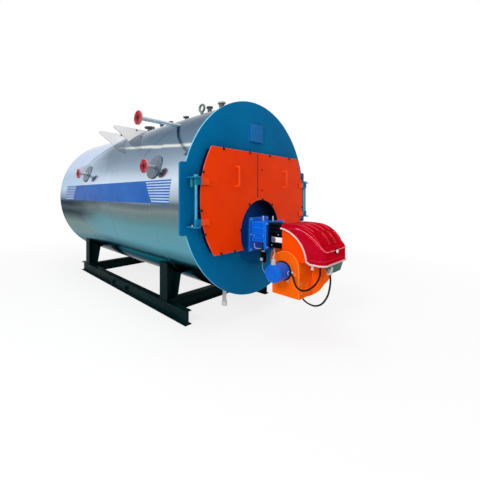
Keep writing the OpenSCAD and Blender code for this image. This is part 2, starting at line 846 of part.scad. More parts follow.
module side_flanges() color("crimson") placed()
    both_sides() for (p = SIDE_NOZZLES) translate([0, p[0], axis_z + p[1]])
        along_x(shell_r + p[2] - flange_t, shell_r + p[2]) difference() {
            circle(d = flange_d);
            circle(r = side_pipe_d / 2 - side_pipe_t);
            for (a = [45:90:315]) rotate(a) translate([flange_pcd / 2, 0]) circle(d = bolt_hole_d);
        }

module rosettes() color("lightslategray") placed() both_sides()
    for (p = [SIDE_NOZZLES[1], SIDE_NOZZLES[2]]) translate([0, p[0], axis_z]) difference() {
        rotate([0, -asin(p[1] / shell_r), 0]) translate([shell_r + seat, 0, 0])
            rotate([0, 90, 0]) cylinder(d = rosette_d, h = rosette_t);
        translate([0, 0, p[1]]) rotate([0, 90, 0]) cylinder(r = side_pipe_d / 2 + seat, h = 2 * shell_r);
    }

// Plates on the drum's shoulders: a flat top edge, a round tip, and a foot welded to the drum
module platform_brackets() color("gainsboro") placed() {
    foot_angle = 48;
    root_angle = 62;
    tip = [bracket_tip - bracket_nose, bracket_top - bracket_nose];
    root = [sqrt(shell_r ^ 2 - bracket_top ^ 2) - sunk, bracket_top];
    foot = shell_r * [cos(foot_angle), sin(foot_angle)];
    for (y = [bracket_y, bracket_y + bracket_pitch]) both_sides() difference() {
        translate([0, 0, axis_z]) along_y(y - bracket_t / 2, y + bracket_t / 2) difference() {
            union() {
                translate(tip) circle(r = bracket_nose, $fn = 48);
                polygon([root, tip + [0, bracket_nose], tip - [0, bracket_nose], foot,
                         inner_r * [cos(root_angle), sin(root_angle)]]);
            }
            for (x = [bracket_hole_near, bracket_hole_far]) translate(tip - [x, 0]) circle(d = bracket_hole_d, $fn = 32);
        }
        drum_cutter();
    }
}

module steam_nozzle() color("lightslategray") placed() translate([0, steam_y, axis_z]) difference() {
    low = shell_r / 2;
    union() {
        translate([0, 0, low]) cylinder(d = steam_bore + 2 * steam_wall, h = steam_top - low);
        translate([0, 0, steam_top - flange_t]) cylinder(d = steam_d, h = flange_t);
    }
    translate([0, 0, low - past]) cylinder(d = steam_bore, h = steam_top - low + 2 * past);
    for (a = [45:90:315]) rotate(a) translate([steam_pcd / 2, 0, steam_top - flange_t - past])
        cylinder(d = bolt_hole_d, h = flange_t + 2 * past);
    rotate([90, 0, 0]) cylinder(r = shell_r + seat, h = 2 * steam_d, center = true, $fn = 180);
}

// Small crown nozzles: place along the drum, pipe radius, top radius, height above the crown
CROWN_NOZZLES = [[550, 34, 52, 163], [777, 30, 46, 156], [1287, 20, 45, 128],
                 [1667, 22, 34, 128], [1936, 22, 34, 128]];

module crown_nozzles() color("dimgray") placed() difference() {
    for (n = CROWN_NOZZLES) translate([0, n[0], axis_z]) {
        translate([0, 0, shell_r / 2]) cylinder(r = n[1], h = shell_r / 2 + n[3]);
        translate([0, 0, shell_r + n[3] - flange_t]) cylinder(r = n[2], h = flange_t);
    }
    drum_cutter();
}

module lifting_eye(y) color("dimgray") placed() translate([0, y, axis_z]) {
    ring = eye_d / 2 - eye_bar / 2;
    stem_d = 1.4 * eye_bar;
    translate([0, 0, eye_top - eye_d / 2]) rotate([0, 90, 0]) rotate_extrude()
        translate([ring, 0]) circle(d = eye_bar, $fn = 32);
    difference() {
        translate([0, 0, shell_r / 2])
            cylinder(d = stem_d, h = shell_r / 2 + eye_rise - eye_d + eye_bar / 2);
        rotate([90, 0, 0]) cylinder(r = shell_r + seat, h = 2 * eye_d, center = true, $fn = 180);
    }
}

module front_lifting_eye() lifting_eye(eye_front);

module rear_lifting_eye() lifting_eye(eye_front + eye_pitch);

module drain_pipe() color("gainsboro") placed() difference() {
    translate([-drain_left, drain_y, drain_mouth]) linear_extrude(axis_z - shell_r / 2 - drain_mouth)
        ring_2d(drain_d / 2, drain_d / 2 - drain_t);
    drum_cutter();
}

module rear_plate() color("steelblue") placed() translate([0, 0, axis_z])
    along_y(body_l - rear_t, body_l) circle(r = shell_r, $fn = 180);

module rear_cover() color("steelblue") placed() translate([0, 0, axis_z - rear_cover_drop])
    along_y(body_l, body_l + rear_cover_t) circle(r = rear_cover_r);

module flue_outlet() color("steelblue") placed() translate([0, 0, axis_z + flue_z]) {
    bolts = 12;
    along_y(body_l, body_l + flue_l) ring_2d(flue_r + flue_t, flue_r);
    along_y(body_l + flue_l - flange_t, body_l + flue_l) difference() {
        ring_2d(flue_r + flue_rim, flue_r);
        for (i = [0:bolts - 1]) rotate((i + 0.5) * 360 / bolts)
            translate([flue_r + (flue_rim + flue_t) / 2, 0]) circle(d = flue_bolt_d);
    }
}

skid_rails();
skid_crossbeams();
front_legs();
rear_legs();
cladding_front();
cladding_mid_front();
cladding_mid_rear();
cladding_rear();
front_plate();
smokebox();
tube_sheet();
fire_tubes();
furnace_cover();
hinge_lugs();
hinge_pins();
left_door();
left_door_hinges();
left_door_handle();
right_door();
right_door_hinges();
right_door_handle();
nameplate_holder();
burner_adaptor();
control_box();
burner_body();
fan_inlet();
fan_volute();
fan_motor();
burner_hood();
hood_tray();
pressure_switch();
motor_conduit();
supply_conduit();
side_pipes();
side_flanges();
rosettes();
platform_brackets();
steam_nozzle();
crown_nozzles();
front_lifting_eye();
rear_lifting_eye();
drain_pipe();
rear_plate();
rear_cover();
flue_outlet();
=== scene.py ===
"""Looks of a horizontal steam boiler on its skid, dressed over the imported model, in metres."""
from math import cos, pi, radians, sin, sqrt

import bmesh
import bpy
from mathutils import Matrix, Vector


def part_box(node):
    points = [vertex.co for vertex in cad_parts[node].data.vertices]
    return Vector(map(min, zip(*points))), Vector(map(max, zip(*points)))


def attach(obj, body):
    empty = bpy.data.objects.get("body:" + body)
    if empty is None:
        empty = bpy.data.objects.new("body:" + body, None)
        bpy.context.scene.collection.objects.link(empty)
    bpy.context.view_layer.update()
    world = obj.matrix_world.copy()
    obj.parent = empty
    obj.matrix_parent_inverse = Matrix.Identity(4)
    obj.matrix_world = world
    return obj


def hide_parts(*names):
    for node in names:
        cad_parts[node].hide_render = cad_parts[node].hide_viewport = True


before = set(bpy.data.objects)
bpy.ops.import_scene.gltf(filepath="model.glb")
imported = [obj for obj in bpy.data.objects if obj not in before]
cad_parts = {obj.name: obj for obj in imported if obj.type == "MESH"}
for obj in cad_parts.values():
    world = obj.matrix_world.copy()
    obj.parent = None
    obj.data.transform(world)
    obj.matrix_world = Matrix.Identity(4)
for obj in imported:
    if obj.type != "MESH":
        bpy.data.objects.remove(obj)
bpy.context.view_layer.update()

# Camera at the height of the drum's axis, in front of the burner end and to its left, as a visitor
# on the shop floor sees the boiler. The lens is shifted rather than tilted, so uprights stay upright.
camera = bpy.data.objects.new("camera", bpy.data.cameras.new("camera"))
bpy.context.collection.objects.link(camera)
camera.location = (-2.6906, -3.4921, 1.4256)
camera.rotation_euler = (radians(90), 0, radians(-41.99))
camera.data.lens = 21.18
camera.data.sensor_width = 36
camera.data.shift_x = 0.0833
camera.data.shift_y = -0.0951
camera.data.clip_end = 200
bpy.context.scene.camera = camera

# Flexible conduits. Each is a ribbed black sleeve over a cable, pushed into a gland at both ends: one
# feeds the fan motor from the tray under the hood, the other runs from the fan's foot up to the tray.
plate_y = -1.478
axis_z = 1.386


def at(x, y, z):
    """A place given in millimetres from the front plate's face and the drum's axis."""
    return Vector((x / 1000, y / 1000 + plate_y, z / 1000 + axis_z))


def srgb(*colour):
    """A colour as the eye reads it, 0 to 255, turned into light."""
    return tuple((c / 255) ** 2.2 for c in colour) + (1.0,)


class Nodes:
    """A short way to write a node tree down: each call adds one node and returns it."""

    def __init__(self, tree):
        self.tree = tree

    def add(self, kind, inputs=(), **settings):
        node = self.tree.nodes.new(kind)
        for name, value in settings.items():
            setattr(node, name, value)
        for name, value in dict(inputs).items():
            socket = node.inputs[name]
            if isinstance(value, bpy.types.NodeSocket):
                self.tree.links.new(value, socket)
            else:
                socket.default_value = value
        return node

    def maths(self, operation, *values):
        return self.add("ShaderNodeMath", dict(enumerate(values)), operation=operation).outputs[0]

    def ramp(self, value, stops):
        node = self.add("ShaderNodeValToRGB", {"Fac": value})
        while len(node.color_ramp.elements) < len(stops):
            node.color_ramp.elements.new(0.5)
        for element, (place, colour) in zip(node.color_ramp.elements, stops):
            element.position = place
            element.color = colour
        return node.outputs[0]

    def noise(self, where, scale, detail=3.0, rough=0.5):
        return self.add("ShaderNodeTexNoise", {"Vector": where, "Scale": scale, "Detail": detail,
                                               "Roughness": rough}).outputs["Fac"]

    def blend(self, share, first, second):
        return self.add("ShaderNodeMix", {0: share, 6: first, 7: second}, data_type="RGBA").outputs[2]

    def spread(self, value, low, high, to_low, to_high):
        return self.add("ShaderNodeMapRange", {"Value": value, "From Min": low, "From Max": high,
                                               "To Min": to_low, "To Max": to_high}).outputs[0]


def finish_of(name):
    """A new material with its surface shader, and the tree to write in."""
    material = bpy.data.materials.new(name)
    material.use_nodes = True
    return material, Nodes(material.node_tree), material.node_tree.nodes["Principled BSDF"]


def coating(name, colour, dark, rough, grain=240.0, depth=0.0002, edge_wear_and_highlight=None, edge=0.0025, metal=0.0,
            patch=3.0, shine=0.1, glare=(1, 1, 1)):
    """Paint, primed coats or plastic: tone and gloss drift over the piece, its edges are round, and a paler edge
    colour is wear on some pieces and a painted highlight on others.
    """
    material, nodes, shader = finish_of(name)
    where = nodes.add("ShaderNodeTexCoord").outputs["Object"]
    drift = nodes.noise(where, patch, 5.0, 0.6)
    tone = nodes.blend(nodes.spread(drift, 0.35, 0.7, 0.0, 1.0), srgb(*dark), srgb(*colour))
    soft = nodes.add("ShaderNodeBevel", {"Radius": edge}, samples=4)
    # The paler edge colour: chipped wear on some pieces, a painted highlight along the edges on others.
    if edge_wear_and_highlight:
        true = nodes.add("ShaderNodeNewGeometry").outputs["Normal"]
        turn = nodes.add("ShaderNodeVectorMath", {0: soft.outputs[0], 1: true}, operation="DOT_PRODUCT")
        line = nodes.spread(turn.outputs["Value"], 0.985, 0.86, 0.0, 1.0)
        chips = nodes.spread(nodes.noise(where, 60.0, 4.0, 0.7), 0.35, 0.55, 0.5, 1.0)
        tone = nodes.blend(nodes.maths("MULTIPLY", line, chips), tone, srgb(*edge_wear_and_highlight))
    skin = nodes.add("ShaderNodeBump", {"Height": nodes.noise(where, grain, 2.0), "Distance": depth,
                                        "Strength": 0.5, "Normal": soft.outputs[0]})
    link = material.node_tree.links.new
    link(tone, shader.inputs["Base Color"])
    link(nodes.spread(nodes.noise(where, 9.0, 4.0), 0.3, 0.7, rough * 0.8, rough * 1.2), shader.inputs["Roughness"])
    link(skin.outputs[0], shader.inputs["Normal"])
    shader.inputs["Metallic"].default_value = metal
    shader.inputs["Specular IOR Level"].default_value = shine
    shader.inputs["Specular Tint"].default_value = (*glare, 1)
    return material


def tree_of(name, sizes):
    """A geometry tree with a named input for each size and one for the material."""
    tree = bpy.data.node_groups.new(name, "GeometryNodeTree")
    tree.interface.new_socket("Geometry", in_out="INPUT", socket_type="NodeSocketGeometry")
    for label in sizes:
        tree.interface.new_socket(label, in_out="INPUT", socket_type="NodeSocketFloat")
    tree.interface.new_socket("Material", in_out="INPUT", socket_type="NodeSocketMaterial")
    tree.interface.new_socket("Geometry", in_out="OUTPUT", socket_type="NodeSocketGeometry")
    return tree, Nodes(tree), tree.nodes.new("NodeGroupInput").outputs


def close_tree(nodes, given, shape):
    """The end of every tree: real geometry with its material."""
    real = nodes.add("GeometryNodeRealizeInstances", {"Geometry": shape})
    done = nodes.add("GeometryNodeSetMaterial", {"Geometry": real.outputs[0], "Material": given["Material"]})
    nodes.tree.links.new(done.outputs[0], nodes.tree.nodes.new("NodeGroupOutput").inputs[0])


def place_piece(name, mesh, material, body):
    """A finished piece on the body that carries it."""
    piece = bpy.data.objects.new(name, mesh)
    bpy.context.collection.objects.link(piece)
    mesh.materials.clear()
    mesh.materials.append(material)
    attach(piece, body)
    return piece


def grow(name, tree, start, sizes, material, body="boiler", smooth=40):
    """Runs a geometry tree on a start mesh or curve and keeps the plain mesh that comes out."""
    seed = bpy.data.objects.new(name + "_start", start)
    bpy.context.collection.objects.link(seed)
    step = seed.modifiers.new("grow", "NODES")
    step.node_group = tree
    given = {**{label: float(size) for label, size in sizes.items()}, "Material": material}
    for item in tree.interface.items_tree:
        if item.in_out == "INPUT" and item.name in given:
            step[item.identifier] = given[item.name]
    graph = bpy.context.evaluated_depsgraph_get()
    mesh = bpy.data.meshes.new_from_object(seed.evaluated_get(graph), depsgraph=graph)
    bpy.data.objects.remove(seed)
    mesh.name = name
    shade(mesh, smooth)
    return place_piece(name, mesh, material, body)


def shade(mesh, angle):
    """Smooth faces, with an edge kept sharp where the surface turns by more than the angle."""
    work = bmesh.new()
    work.from_mesh(mesh)
    for face in work.faces:
        face.smooth = True
    for edge in work.edges:
        edge.smooth = len(edge.link_faces) == 2 and edge.calc_face_angle(0) < radians(angle)
    work.to_mesh(mesh)
    work.free()


def lines_of(runs):
    """Straight-jointed lines through places, as one curve."""
    curve = bpy.data.curves.new("lines", "CURVE")
    curve.dimensions = "3D"
    for run in runs:
        spline = curve.splines.new("POLY")
        spline.points.add(len(run) - 1)
        for point, place in zip(spline.points, run):
            point.co = (*place, 1)
    return curve


ribbed, nodes, given = tree_of("ribbed bar", ("Radius", "Rib pitch", "Rib depth", "Sides"))
even = nodes.add("GeometryNodeResampleCurve", {"Curve": given["Geometry"], "Length": given["Rib pitch"]},
                 mode="LENGTH")
parity = nodes.maths("MODULO", nodes.add("GeometryNodeInputIndex").outputs[0], 2.0)
bulge = nodes.maths("SUBTRACT", 1.0, nodes.maths("MULTIPLY", parity, given["Rib depth"]))
ring = nodes.add("GeometryNodeCurvePrimitiveCircle", {"Resolution": given["Sides"], "Radius": given["Radius"]})
skin = nodes.add("GeometryNodeCurveToMesh", {
    "Curve": nodes.add("GeometryNodeSetCurveRadius", {"Curve": even.outputs[0], "Radius": bulge}).outputs[0],
    "Profile Curve": ring.outputs[0], "Fill Caps": True})
for socket in skin.inputs:
    if socket.name == "Scale":
        nodes.tree.links.new(bulge, socket)
close_tree(nodes, given, skin.outputs[0])


def bar(name, runs, radius, material, body="boiler", pitch=0.012, depth=0.0, sides=10):
    """A round bar along each run, smooth, or rippled to a pitch and a share of its radius."""
    return grow(name, ribbed, lines_of(runs), {"Radius": radius, "Rib pitch": pitch, "Rib depth": depth,
                "Sides": sides}, material, body, 60)


conduit_black = coating("conduit_black", (30, 31, 33), (16, 17, 18), 0.42, 200.0, 0.0001, edge=0.001)
conduit_d = 0.018
motor_route = [
    (-262, -585.5, -712), (-262, -598.5, -712), (-260, -621, -739), (-256, -634, -785), (-252, -656, -828),
    (-240, -698, -852), (-190, -735, -850), (-120, -759, -822), (-82, -778, -777), (-64, -789, -730),
    (-60, -790, -680), (-60, -790, -614.8),
]
supply_route = [
    (0, -560, -957.5), (0, -560, -985), (0, -580, -1018), (0, -617, -1042), (0, -659, -1055), (0, -710, -1055),
    (0, -760, -1031), (0, -799, -989), (0, -837, -914), (2, -854, -832), (10, -856, -773), (14, -852, -737),
    (14, -852, -696.8),
]


def smooth_route(route, steps=6):
    """The route as a fair line through its points."""
    places = [at(*p) for p in route]
    fair = []
    for i in range(len(places) - 1):
        before, here, there, after = (places[max(0, min(len(places) - 1, i + k))] for k in (-1, 0, 1, 2))
        for k in range(steps):
            t = k / steps
            fair.append(0.5 * (2 * here + (there - before) * t + (2 * before - 5 * here + 4 * there - after) * t * t
                               + (3 * here - before - 3 * there + after) * t ** 3))
    return fair + [places[-1]]


for name, route in (("motor_conduit", motor_route), ("supply_conduit", supply_route)):
    line = smooth_route(route)
    piece = bar(name + "_sleeve", [line], conduit_d / 2, conduit_black, pitch=0.0035, depth=0.16,
                sides=16)
    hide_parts(name)

# Cladding. Four rings of polished stainless sheet are wrapped over the insulation and joined by lapped
# bands with a row of blind rivets. Their colour is a painted reflection fixed on the drum: a pale sky above,
# a glint streak, slanted dark lines, and a green floor below.
shell_r = 1.082
drum_l = 3.711
seams = (565, 1596, 2627)
# Painted reflection: the colours of sky, horizon and floor by height on the drum, in degrees, for the front and the
# rear rings.
front_reflection_tones = (
    (-90, 34, 62, 68), (-64, 26, 60, 66), (-50, 38, 90, 102), (-42, 62, 130, 144), (-35, 72, 124, 138),
    (-30, 86, 154, 172), (-18, 88, 146, 156), (-14, 88, 132, 138), (-10, 98, 124, 126), (-7, 116, 130, 132),
    (-5, 94, 110, 116), (-3, 80, 98, 108), (0, 160, 176, 190), (9, 210, 227, 242), (14, 190, 207, 224),
    (19, 150, 171, 190), (25, 126, 147, 166), (34, 102, 126, 147), (45, 92, 116, 139), (90, 88, 116, 138),
)
rear_reflection_tones = (
    (-90, 30, 56, 62), (-52, 36, 84, 94), (-42, 74, 132, 146), (-33, 108, 144, 148), (-24, 120, 146, 144),
    (-18, 82, 100, 106), (-14, 42, 58, 66), (-9, 78, 94, 102), (-6, 46, 62, 68), (-3, 44, 64, 80),
    (1, 140, 160, 180), (9, 192, 214, 238), (20, 188, 208, 228), (30, 204, 220, 242), (45, 206, 220, 242),
    (90, 196, 206, 216),
)
cladding_steel, nodes, shader = finish_of("cladding_steel")
where = nodes.add("ShaderNodeTexCoord").outputs["Object"]
centred = nodes.add("ShaderNodeMapping", {"Vector": where, "Location": (0, -plate_y, -axis_z)}).outputs[0]
parts = nodes.add("ShaderNodeSeparateXYZ", {"Vector": centred}).outputs
along = parts["Y"]
height = nodes.maths("DEGREES", nodes.maths("ARCTAN2", parts["Z"], nodes.maths("ABSOLUTE", parts["X"])))
sheet = nodes.maths("FLOOR", nodes.maths("DIVIDE", nodes.maths("SUBTRACT", along, seams[0] / 1000),
                                           (seams[1] - seams[0]) / 1000))
tilt = nodes.add("ShaderNodeTexWhiteNoise", {"W": sheet}, noise_dimensions="1D").outputs["Value"]
stretched = nodes.add("ShaderNodeMapping", {"Vector": where, "Scale": (1.2, 0.45, 1.2)}).outputs[0]
waver = nodes.noise(stretched, 1.6, 2.0)
height = nodes.maths("ADD", height, nodes.spread(tilt, 0, 1, -0.6, 0.6))
height = nodes.maths("ADD", height, nodes.spread(waver, 0.3, 0.7, -1.2, 1.2))
turned = nodes.spread(height, -90, 90, 0, 1)
reflection_tones = [nodes.ramp(turned, [((a + 90) / 180, srgb(*colour)) for a, *colour in stops])
         for stops in (front_reflection_tones, rear_reflection_tones)]
swing = nodes.maths("ADD", along, nodes.spread(nodes.noise(stretched, 2.4, 3.0), 0.3, 0.7, -0.3, 0.3))
crown = nodes.spread(height, 24, 30, 0, 1)
# Painted reflection: two slanted dark lines over the crown, and a paler rear crown beyond the far one.
near_reflected_line = nodes.maths("ADD", along, nodes.maths("DIVIDE", height, 77.0))
far_reflected_line = nodes.maths("ADD", along, nodes.maths("DIVIDE", height, 43.5))
swing = nodes.maths("MAXIMUM", nodes.spread(swing, 1.9, 2.9, 0, 1),
                    nodes.maths("MULTIPLY", crown, nodes.spread(far_reflected_line, 3.32, 3.35, 0, 1)))
painted_reflection = nodes.blend(swing, *reflection_tones)
for edge, place, dark in ((near_reflected_line, 1.236, 0.5), (far_reflected_line, 3.335, 0.7)):
    off = nodes.maths("ABSOLUTE", nodes.maths("SUBTRACT", edge, place))
    line = nodes.maths("MULTIPLY", nodes.spread(off, 0.008, 0.026, dark, 0), crown)
    painted_reflection = nodes.blend(line, painted_reflection, srgb(58, 76, 92))
# Painted highlight: a glint streak slanting along the front rings.
away = nodes.maths("ABSOLUTE", nodes.maths("SUBTRACT", height, nodes.maths("MULTIPLY_ADD", along, 7.3, 28.0)))
painted_glint = nodes.maths("MULTIPLY", nodes.spread(away, 0.3, 1.7, 0.9, 0), nodes.spread(along, 1.3, 2.0, 1, 0))
painted_reflection = nodes.blend(painted_glint, painted_reflection, srgb(240, 240, 232))
streaks = nodes.add("ShaderNodeMapping", {"Vector": where, "Scale": (6.0, 260.0, 6.0)}).outputs[0]
brush = nodes.noise(streaks, 1.0, 4.0, 0.7)
painted_reflection = nodes.blend(nodes.spread(brush, 0.35, 0.65, 0.0, 0.05), painted_reflection, srgb(225, 228, 232))
link = cladding_steel.node_tree.links.new
link(painted_reflection, shader.inputs["Base Color"])
# The specular tint leans to the painted reflection, most on the underside, then at the rear and on the crown near the
# front.
tint = nodes.maths("MAXIMUM", nodes.spread(height, -46, -26, 0.9, 0.3), nodes.spread(along, 1.4, 3.2, 0.3, 0.6))
brow = nodes.maths("MULTIPLY", nodes.spread(height, 26, 44, 0.3, 0.54), nodes.spread(along, 1.0, 2.0, 1, 0))
tint = nodes.maths("MAXIMUM", tint, brow)
link(nodes.blend(tint, (1, 1, 1, 1), painted_reflection), shader.inputs["Specular Tint"])
polish = nodes.spread(height, 4, 22, 0, 0.05)
link(nodes.maths("SUBTRACT", nodes.spread(brush, 0.3, 0.7, 0.13, 0.17), polish), shader.inputs["Roughness"])
ripple = nodes.add("ShaderNodeBump", {"Height": nodes.noise(stretched, 5.0, 2.0), "Distance": 0.0015,
                                      "Strength": 0.2})
link(ripple.outputs[0], shader.inputs["Normal"])
shader.inputs["Metallic"].default_value = 1.0


def dress(material, *nodes):
    """Gives CAD nodes their finish."""
    for node in nodes:
        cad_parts[node].data.materials[0] = material


dress(cladding_steel, "cladding_front", "cladding_mid_front", "cladding_mid_rear", "cladding_rear")


def drum_band(work, middle, width, thick, radius=shell_r):
    """A closed flat ring round the drum."""
    ring, sides = [], 180
    for k in range(sides):
        turn = 2 * pi * k / sides
        for y, r in ((-1, 0), (1, 0), (1, 1), (-1, 1)):
            out = radius + (thick if r else -0.0005)
            ring.append(work.verts.new((out * cos(turn), plate_y + middle / 1000 + y * width / 2000,
                                        axis_z + out * sin(turn))))
    for k in range(sides):
        here, there = 4 * k, 4 * ((k + 1) % sides)
        for j in range(4):
            work.faces.new((ring[here + j], ring[there + j], ring[there + (j + 1) % 4], ring[here + (j + 1) % 4]))


def build(name, work, material, body="boiler", smooth=40):
    """A piece from what was built, merged, with its faces outwards."""
    bmesh.ops.remove_doubles(work, verts=work.verts, dist=1e-6)
    bmesh.ops.recalc_face_normals(work, faces=work.faces)
    mesh = bpy.data.meshes.new(name)
    work.to_mesh(mesh)
    work.free()
    shade(mesh, smooth)
    return place_piece(name, mesh, material, body)


work = bmesh.new()
for seam in seams:
    drum_band(work, seam, 9, 0.0008)
drum_band(work, 28, 14, 0.0015)
drum_band(work, drum_l * 1000 - 12, 22, 0.0015)
build("cladding_bands", work, cladding_steel)
joint_pale = coating("joint_pale", (168, 188, 196), (150, 170, 180), 0.5, 120.0, 0.0001, metal=0.5)
work = bmesh.new()
for seam in seams:
    drum_band(work, seam + 6, 3, 0.0005)
build("cladding_joints", work, joint_pale)


def points_of(places):
    """A mesh of loose points, each with the direction that its fastener stands in."""
    mesh = bpy.data.meshes.new("points")
    mesh.from_pydata([p for p, _ in places], [], [])
    axis = mesh.attributes.new("axis", "FLOAT_VECTOR", "POINT")
    for item, (_, direction) in zip(axis.data, places):
        item.vector = direction
    return mesh


def stand_up(nodes, points, shape):
    """A copy of the shape on each point, its Z along the point's axis."""
    axis = nodes.add("GeometryNodeInputNamedAttribute", {"Name": "axis"}, data_type="FLOAT_VECTOR").outputs[0]
    turn = nodes.add("FunctionNodeAlignRotationToVector", {"Vector": axis}, axis="Z").outputs[0]
    copies = nodes.add("GeometryNodeInstanceOnPoints", {"Points": points, "Instance": shape, "Rotation": turn})
    return copies.outputs[0]


rivets, nodes, given = tree_of("blind rivets", ("Radius",))
dome = nodes.add("GeometryNodeMeshUVSphere", {"Segments": 10, "Rings": 6, "Radius": given["Radius"]})
flat = nodes.add("GeometryNodeTransform", {"Geometry": dome.outputs[0], "Scale": (1, 1, 0.45)})
close_tree(nodes, given, stand_up(nodes, given["Geometry"], flat.outputs[0]))

places = []
for seam in seams:
    for k in range(42):
        turn = 2 * pi * (k + 0.5) / 42
        out = Vector((cos(turn), 0, sin(turn)))
        places.append((at(0, seam - 9, 0) + out * shell_r, out))
grow("cladding_rivets", rivets, points_of(places), {"Radius": 0.0028}, cladding_steel)


# Side banners. A printed vinyl sheet is stuck along each flank: a solid field with slanted ends, and
# stripes that run out from it. The field is bare.
def drum_patch(work, side, low, high, front, back, lift, steps=8):
    """A thin curved patch on the drum. Angles in degrees; ends as (at the low edge, at the high edge)."""
    rows = []
    for layer in (0.0, lift):
        grid = []
        for i in range(steps + 1):
            share = i / steps
            turn = radians(low + (high - low) * share)
            out = shell_r + 0.0001 + layer
            ends = [e[0] + (e[1] - e[0]) * share for e in (front, back)]
            grid.append([work.verts.new((side * out * cos(turn), plate_y + (ends[0] + (ends[1] - ends[0]) * j / 4)
                                         / 1000, axis_z + out * sin(turn))) for j in range(5)])
        rows.append(grid)
    inner, outer = rows
    for i in range(steps):
        for j in range(4):
            for grid in (inner, outer):
                work.faces.new((grid[i][j], grid[i + 1][j], grid[i + 1][j + 1], grid[i][j + 1]))
        for j in (0, 4):
            work.faces.new((inner[i][j], inner[i + 1][j], outer[i + 1][j], outer[i][j]))
    for i in (0, steps):
        for j in range(4):
            work.faces.new((inner[i][j], inner[i][j + 1], outer[i][j + 1], outer[i][j]))


def between(low_end, high_end, low, high, turn):
    """Where a slanted end lies at an angle."""
    return low_end + (high_end - low_end) * (turn - low) / (high - low)


banner_low, banner_high = -2.9, 9.9
banner_blue = coating("banner_blue", (38, 94, 168), (30, 84, 158), 0.4, 90.0, 0.0001)
banner_white = coating("banner_white", (176, 194, 218), (160, 178, 204), 0.4, 90.0, 0.0001)
for side, word in ((-1, "left"), (1, "right")):
    work = bmesh.new()
    drum_patch(work, side, banner_low, banner_high, (535, 682), (2977, 2877), 0.0009, 14)
    stripes = 9
    pitch = (banner_high - banner_low) / (stripes - 0.5)
    for k in range(stripes):
        low = banner_low + k * pitch
        high = min(low + pitch * 0.5, banner_high)
        for outer, inner in (((225, 205), (535, 682)), ((3379, 3339), (2977, 2877))):
            ends = [[between(*e, banner_low, banner_high, a) for a in (low, high)] for e in (outer, inner)]
            first, last = sorted(ends, key=lambda e: e[0])
            drum_patch(work, side, low, high, first, last, 0.0009, 2)
    build("banner_blue_" + word, work, banner_blue)
    work = bmesh.new()
    drum_patch(work, side, banner_low, banner_high, (225, 205), (535, 682), 0.0004, 10)
    drum_patch(work, side, banner_low, banner_high, (2977, 2877), (3379, 3339), 0.0004, 10)
    build("banner_white_" + word, work, banner_white)

# Front plate, smokebox and furnace cover. A thick round plate with a hinge plate at each side is welded to
# the drum and painted blue. The smokebox walls stand through it, and a bolted cover closes their arch.
front_paint = coating("front_paint", (0, 114, 166), (0, 100, 151), 0.42, edge_wear_and_highlight=(60, 150, 186), edge=0.004,
                      patch=1.6, shine=0.02)
dress(front_paint, "front_plate")
# Painted shade: the smokebox walls are a far darker blue than the plate, for the shade in the recess behind the
# doors.
smokebox_shade_paint = coating("smokebox_shade_paint", (0, 34, 66), (0, 22, 50), 0.5, edge_wear_and_highlight=(20, 80, 120), edge=0.002,
                         patch=3.0, shine=0.02)
dress(smokebox_shade_paint, "smokebox")
# Painted shade: the furnace cover is a darker blue than the plate, for the shade under the arch.
cover_shade_paint = coating("cover_shade_paint", (0, 72, 132), (0, 58, 112), 0.42, edge_wear_and_highlight=(40, 120, 170), edge=0.004, patch=1.6,
                      shine=0.01)


def repaint(material):
    """A coating opened again: its tree, the place with its X, Y and Z, and the colour that it has."""
    nodes = Nodes(material.node_tree)
    where = nodes.add("ShaderNodeTexCoord").outputs["Object"]
    axes = nodes.add("ShaderNodeSeparateXYZ", {"Vector": where}).outputs
    return nodes, where, axes, base_of(material).links[0].from_socket


def base_of(material):
    return material.node_tree.nodes["Principled BSDF"].inputs["Base Color"]


nodes, where, axes, blue = repaint(cover_shade_paint)
# Back to the plate's blue at the bottom, and painted shade darkening it to near black towards the upper right.
blue = nodes.blend(nodes.spread(axes["Z"], axis_z - 0.66, axis_z - 0.5, 0.8, 0), blue, srgb(0, 94, 146))
corner = nodes.spread(nodes.maths("ADD", axes["X"], axes["Z"]), axis_z - 0.33, axis_z - 0.02, 0, 0.95)
nodes.tree.links.new(nodes.blend(corner, blue, srgb(0, 4, 22)), base_of(cover_shade_paint))
dress(cover_shade_paint, "furnace_cover")
# Painted highlight: the plate's rim and the weld round it are a pale blue.
rim_highlight_paint = coating("rim_highlight_paint", (120, 198, 222), (70, 158, 192), 0.4, edge=0.002, patch=5.0)
work = bmesh.new()
drum_band(work, 10, 17, 0.0015, 1.1)
build("front_plate_rim", work, rim_highlight_paint)


def circle_run(radius, y, z=0, start=0, end=360, steps=120):
    """Places round a circle on the front, in millimetres from the drum's axis."""
    return [at(radius * cos(radians(start + (end - start) * k / steps)), y,
               z + radius * sin(radians(start + (end - start) * k / steps))) for k in range(steps + 1)]


arch_z, seam_x = -385, -75
bar("front_plate_weld", [circle_run(1083, 21)], 0.006, rim_highlight_paint, pitch=0.007, depth=0.25, sides=8)
bar("furnace_cover_weld", [circle_run(346, -4, arch_z, 212, 328)], 0.004, front_paint, pitch=0.007,
    depth=0.25, sides=8)

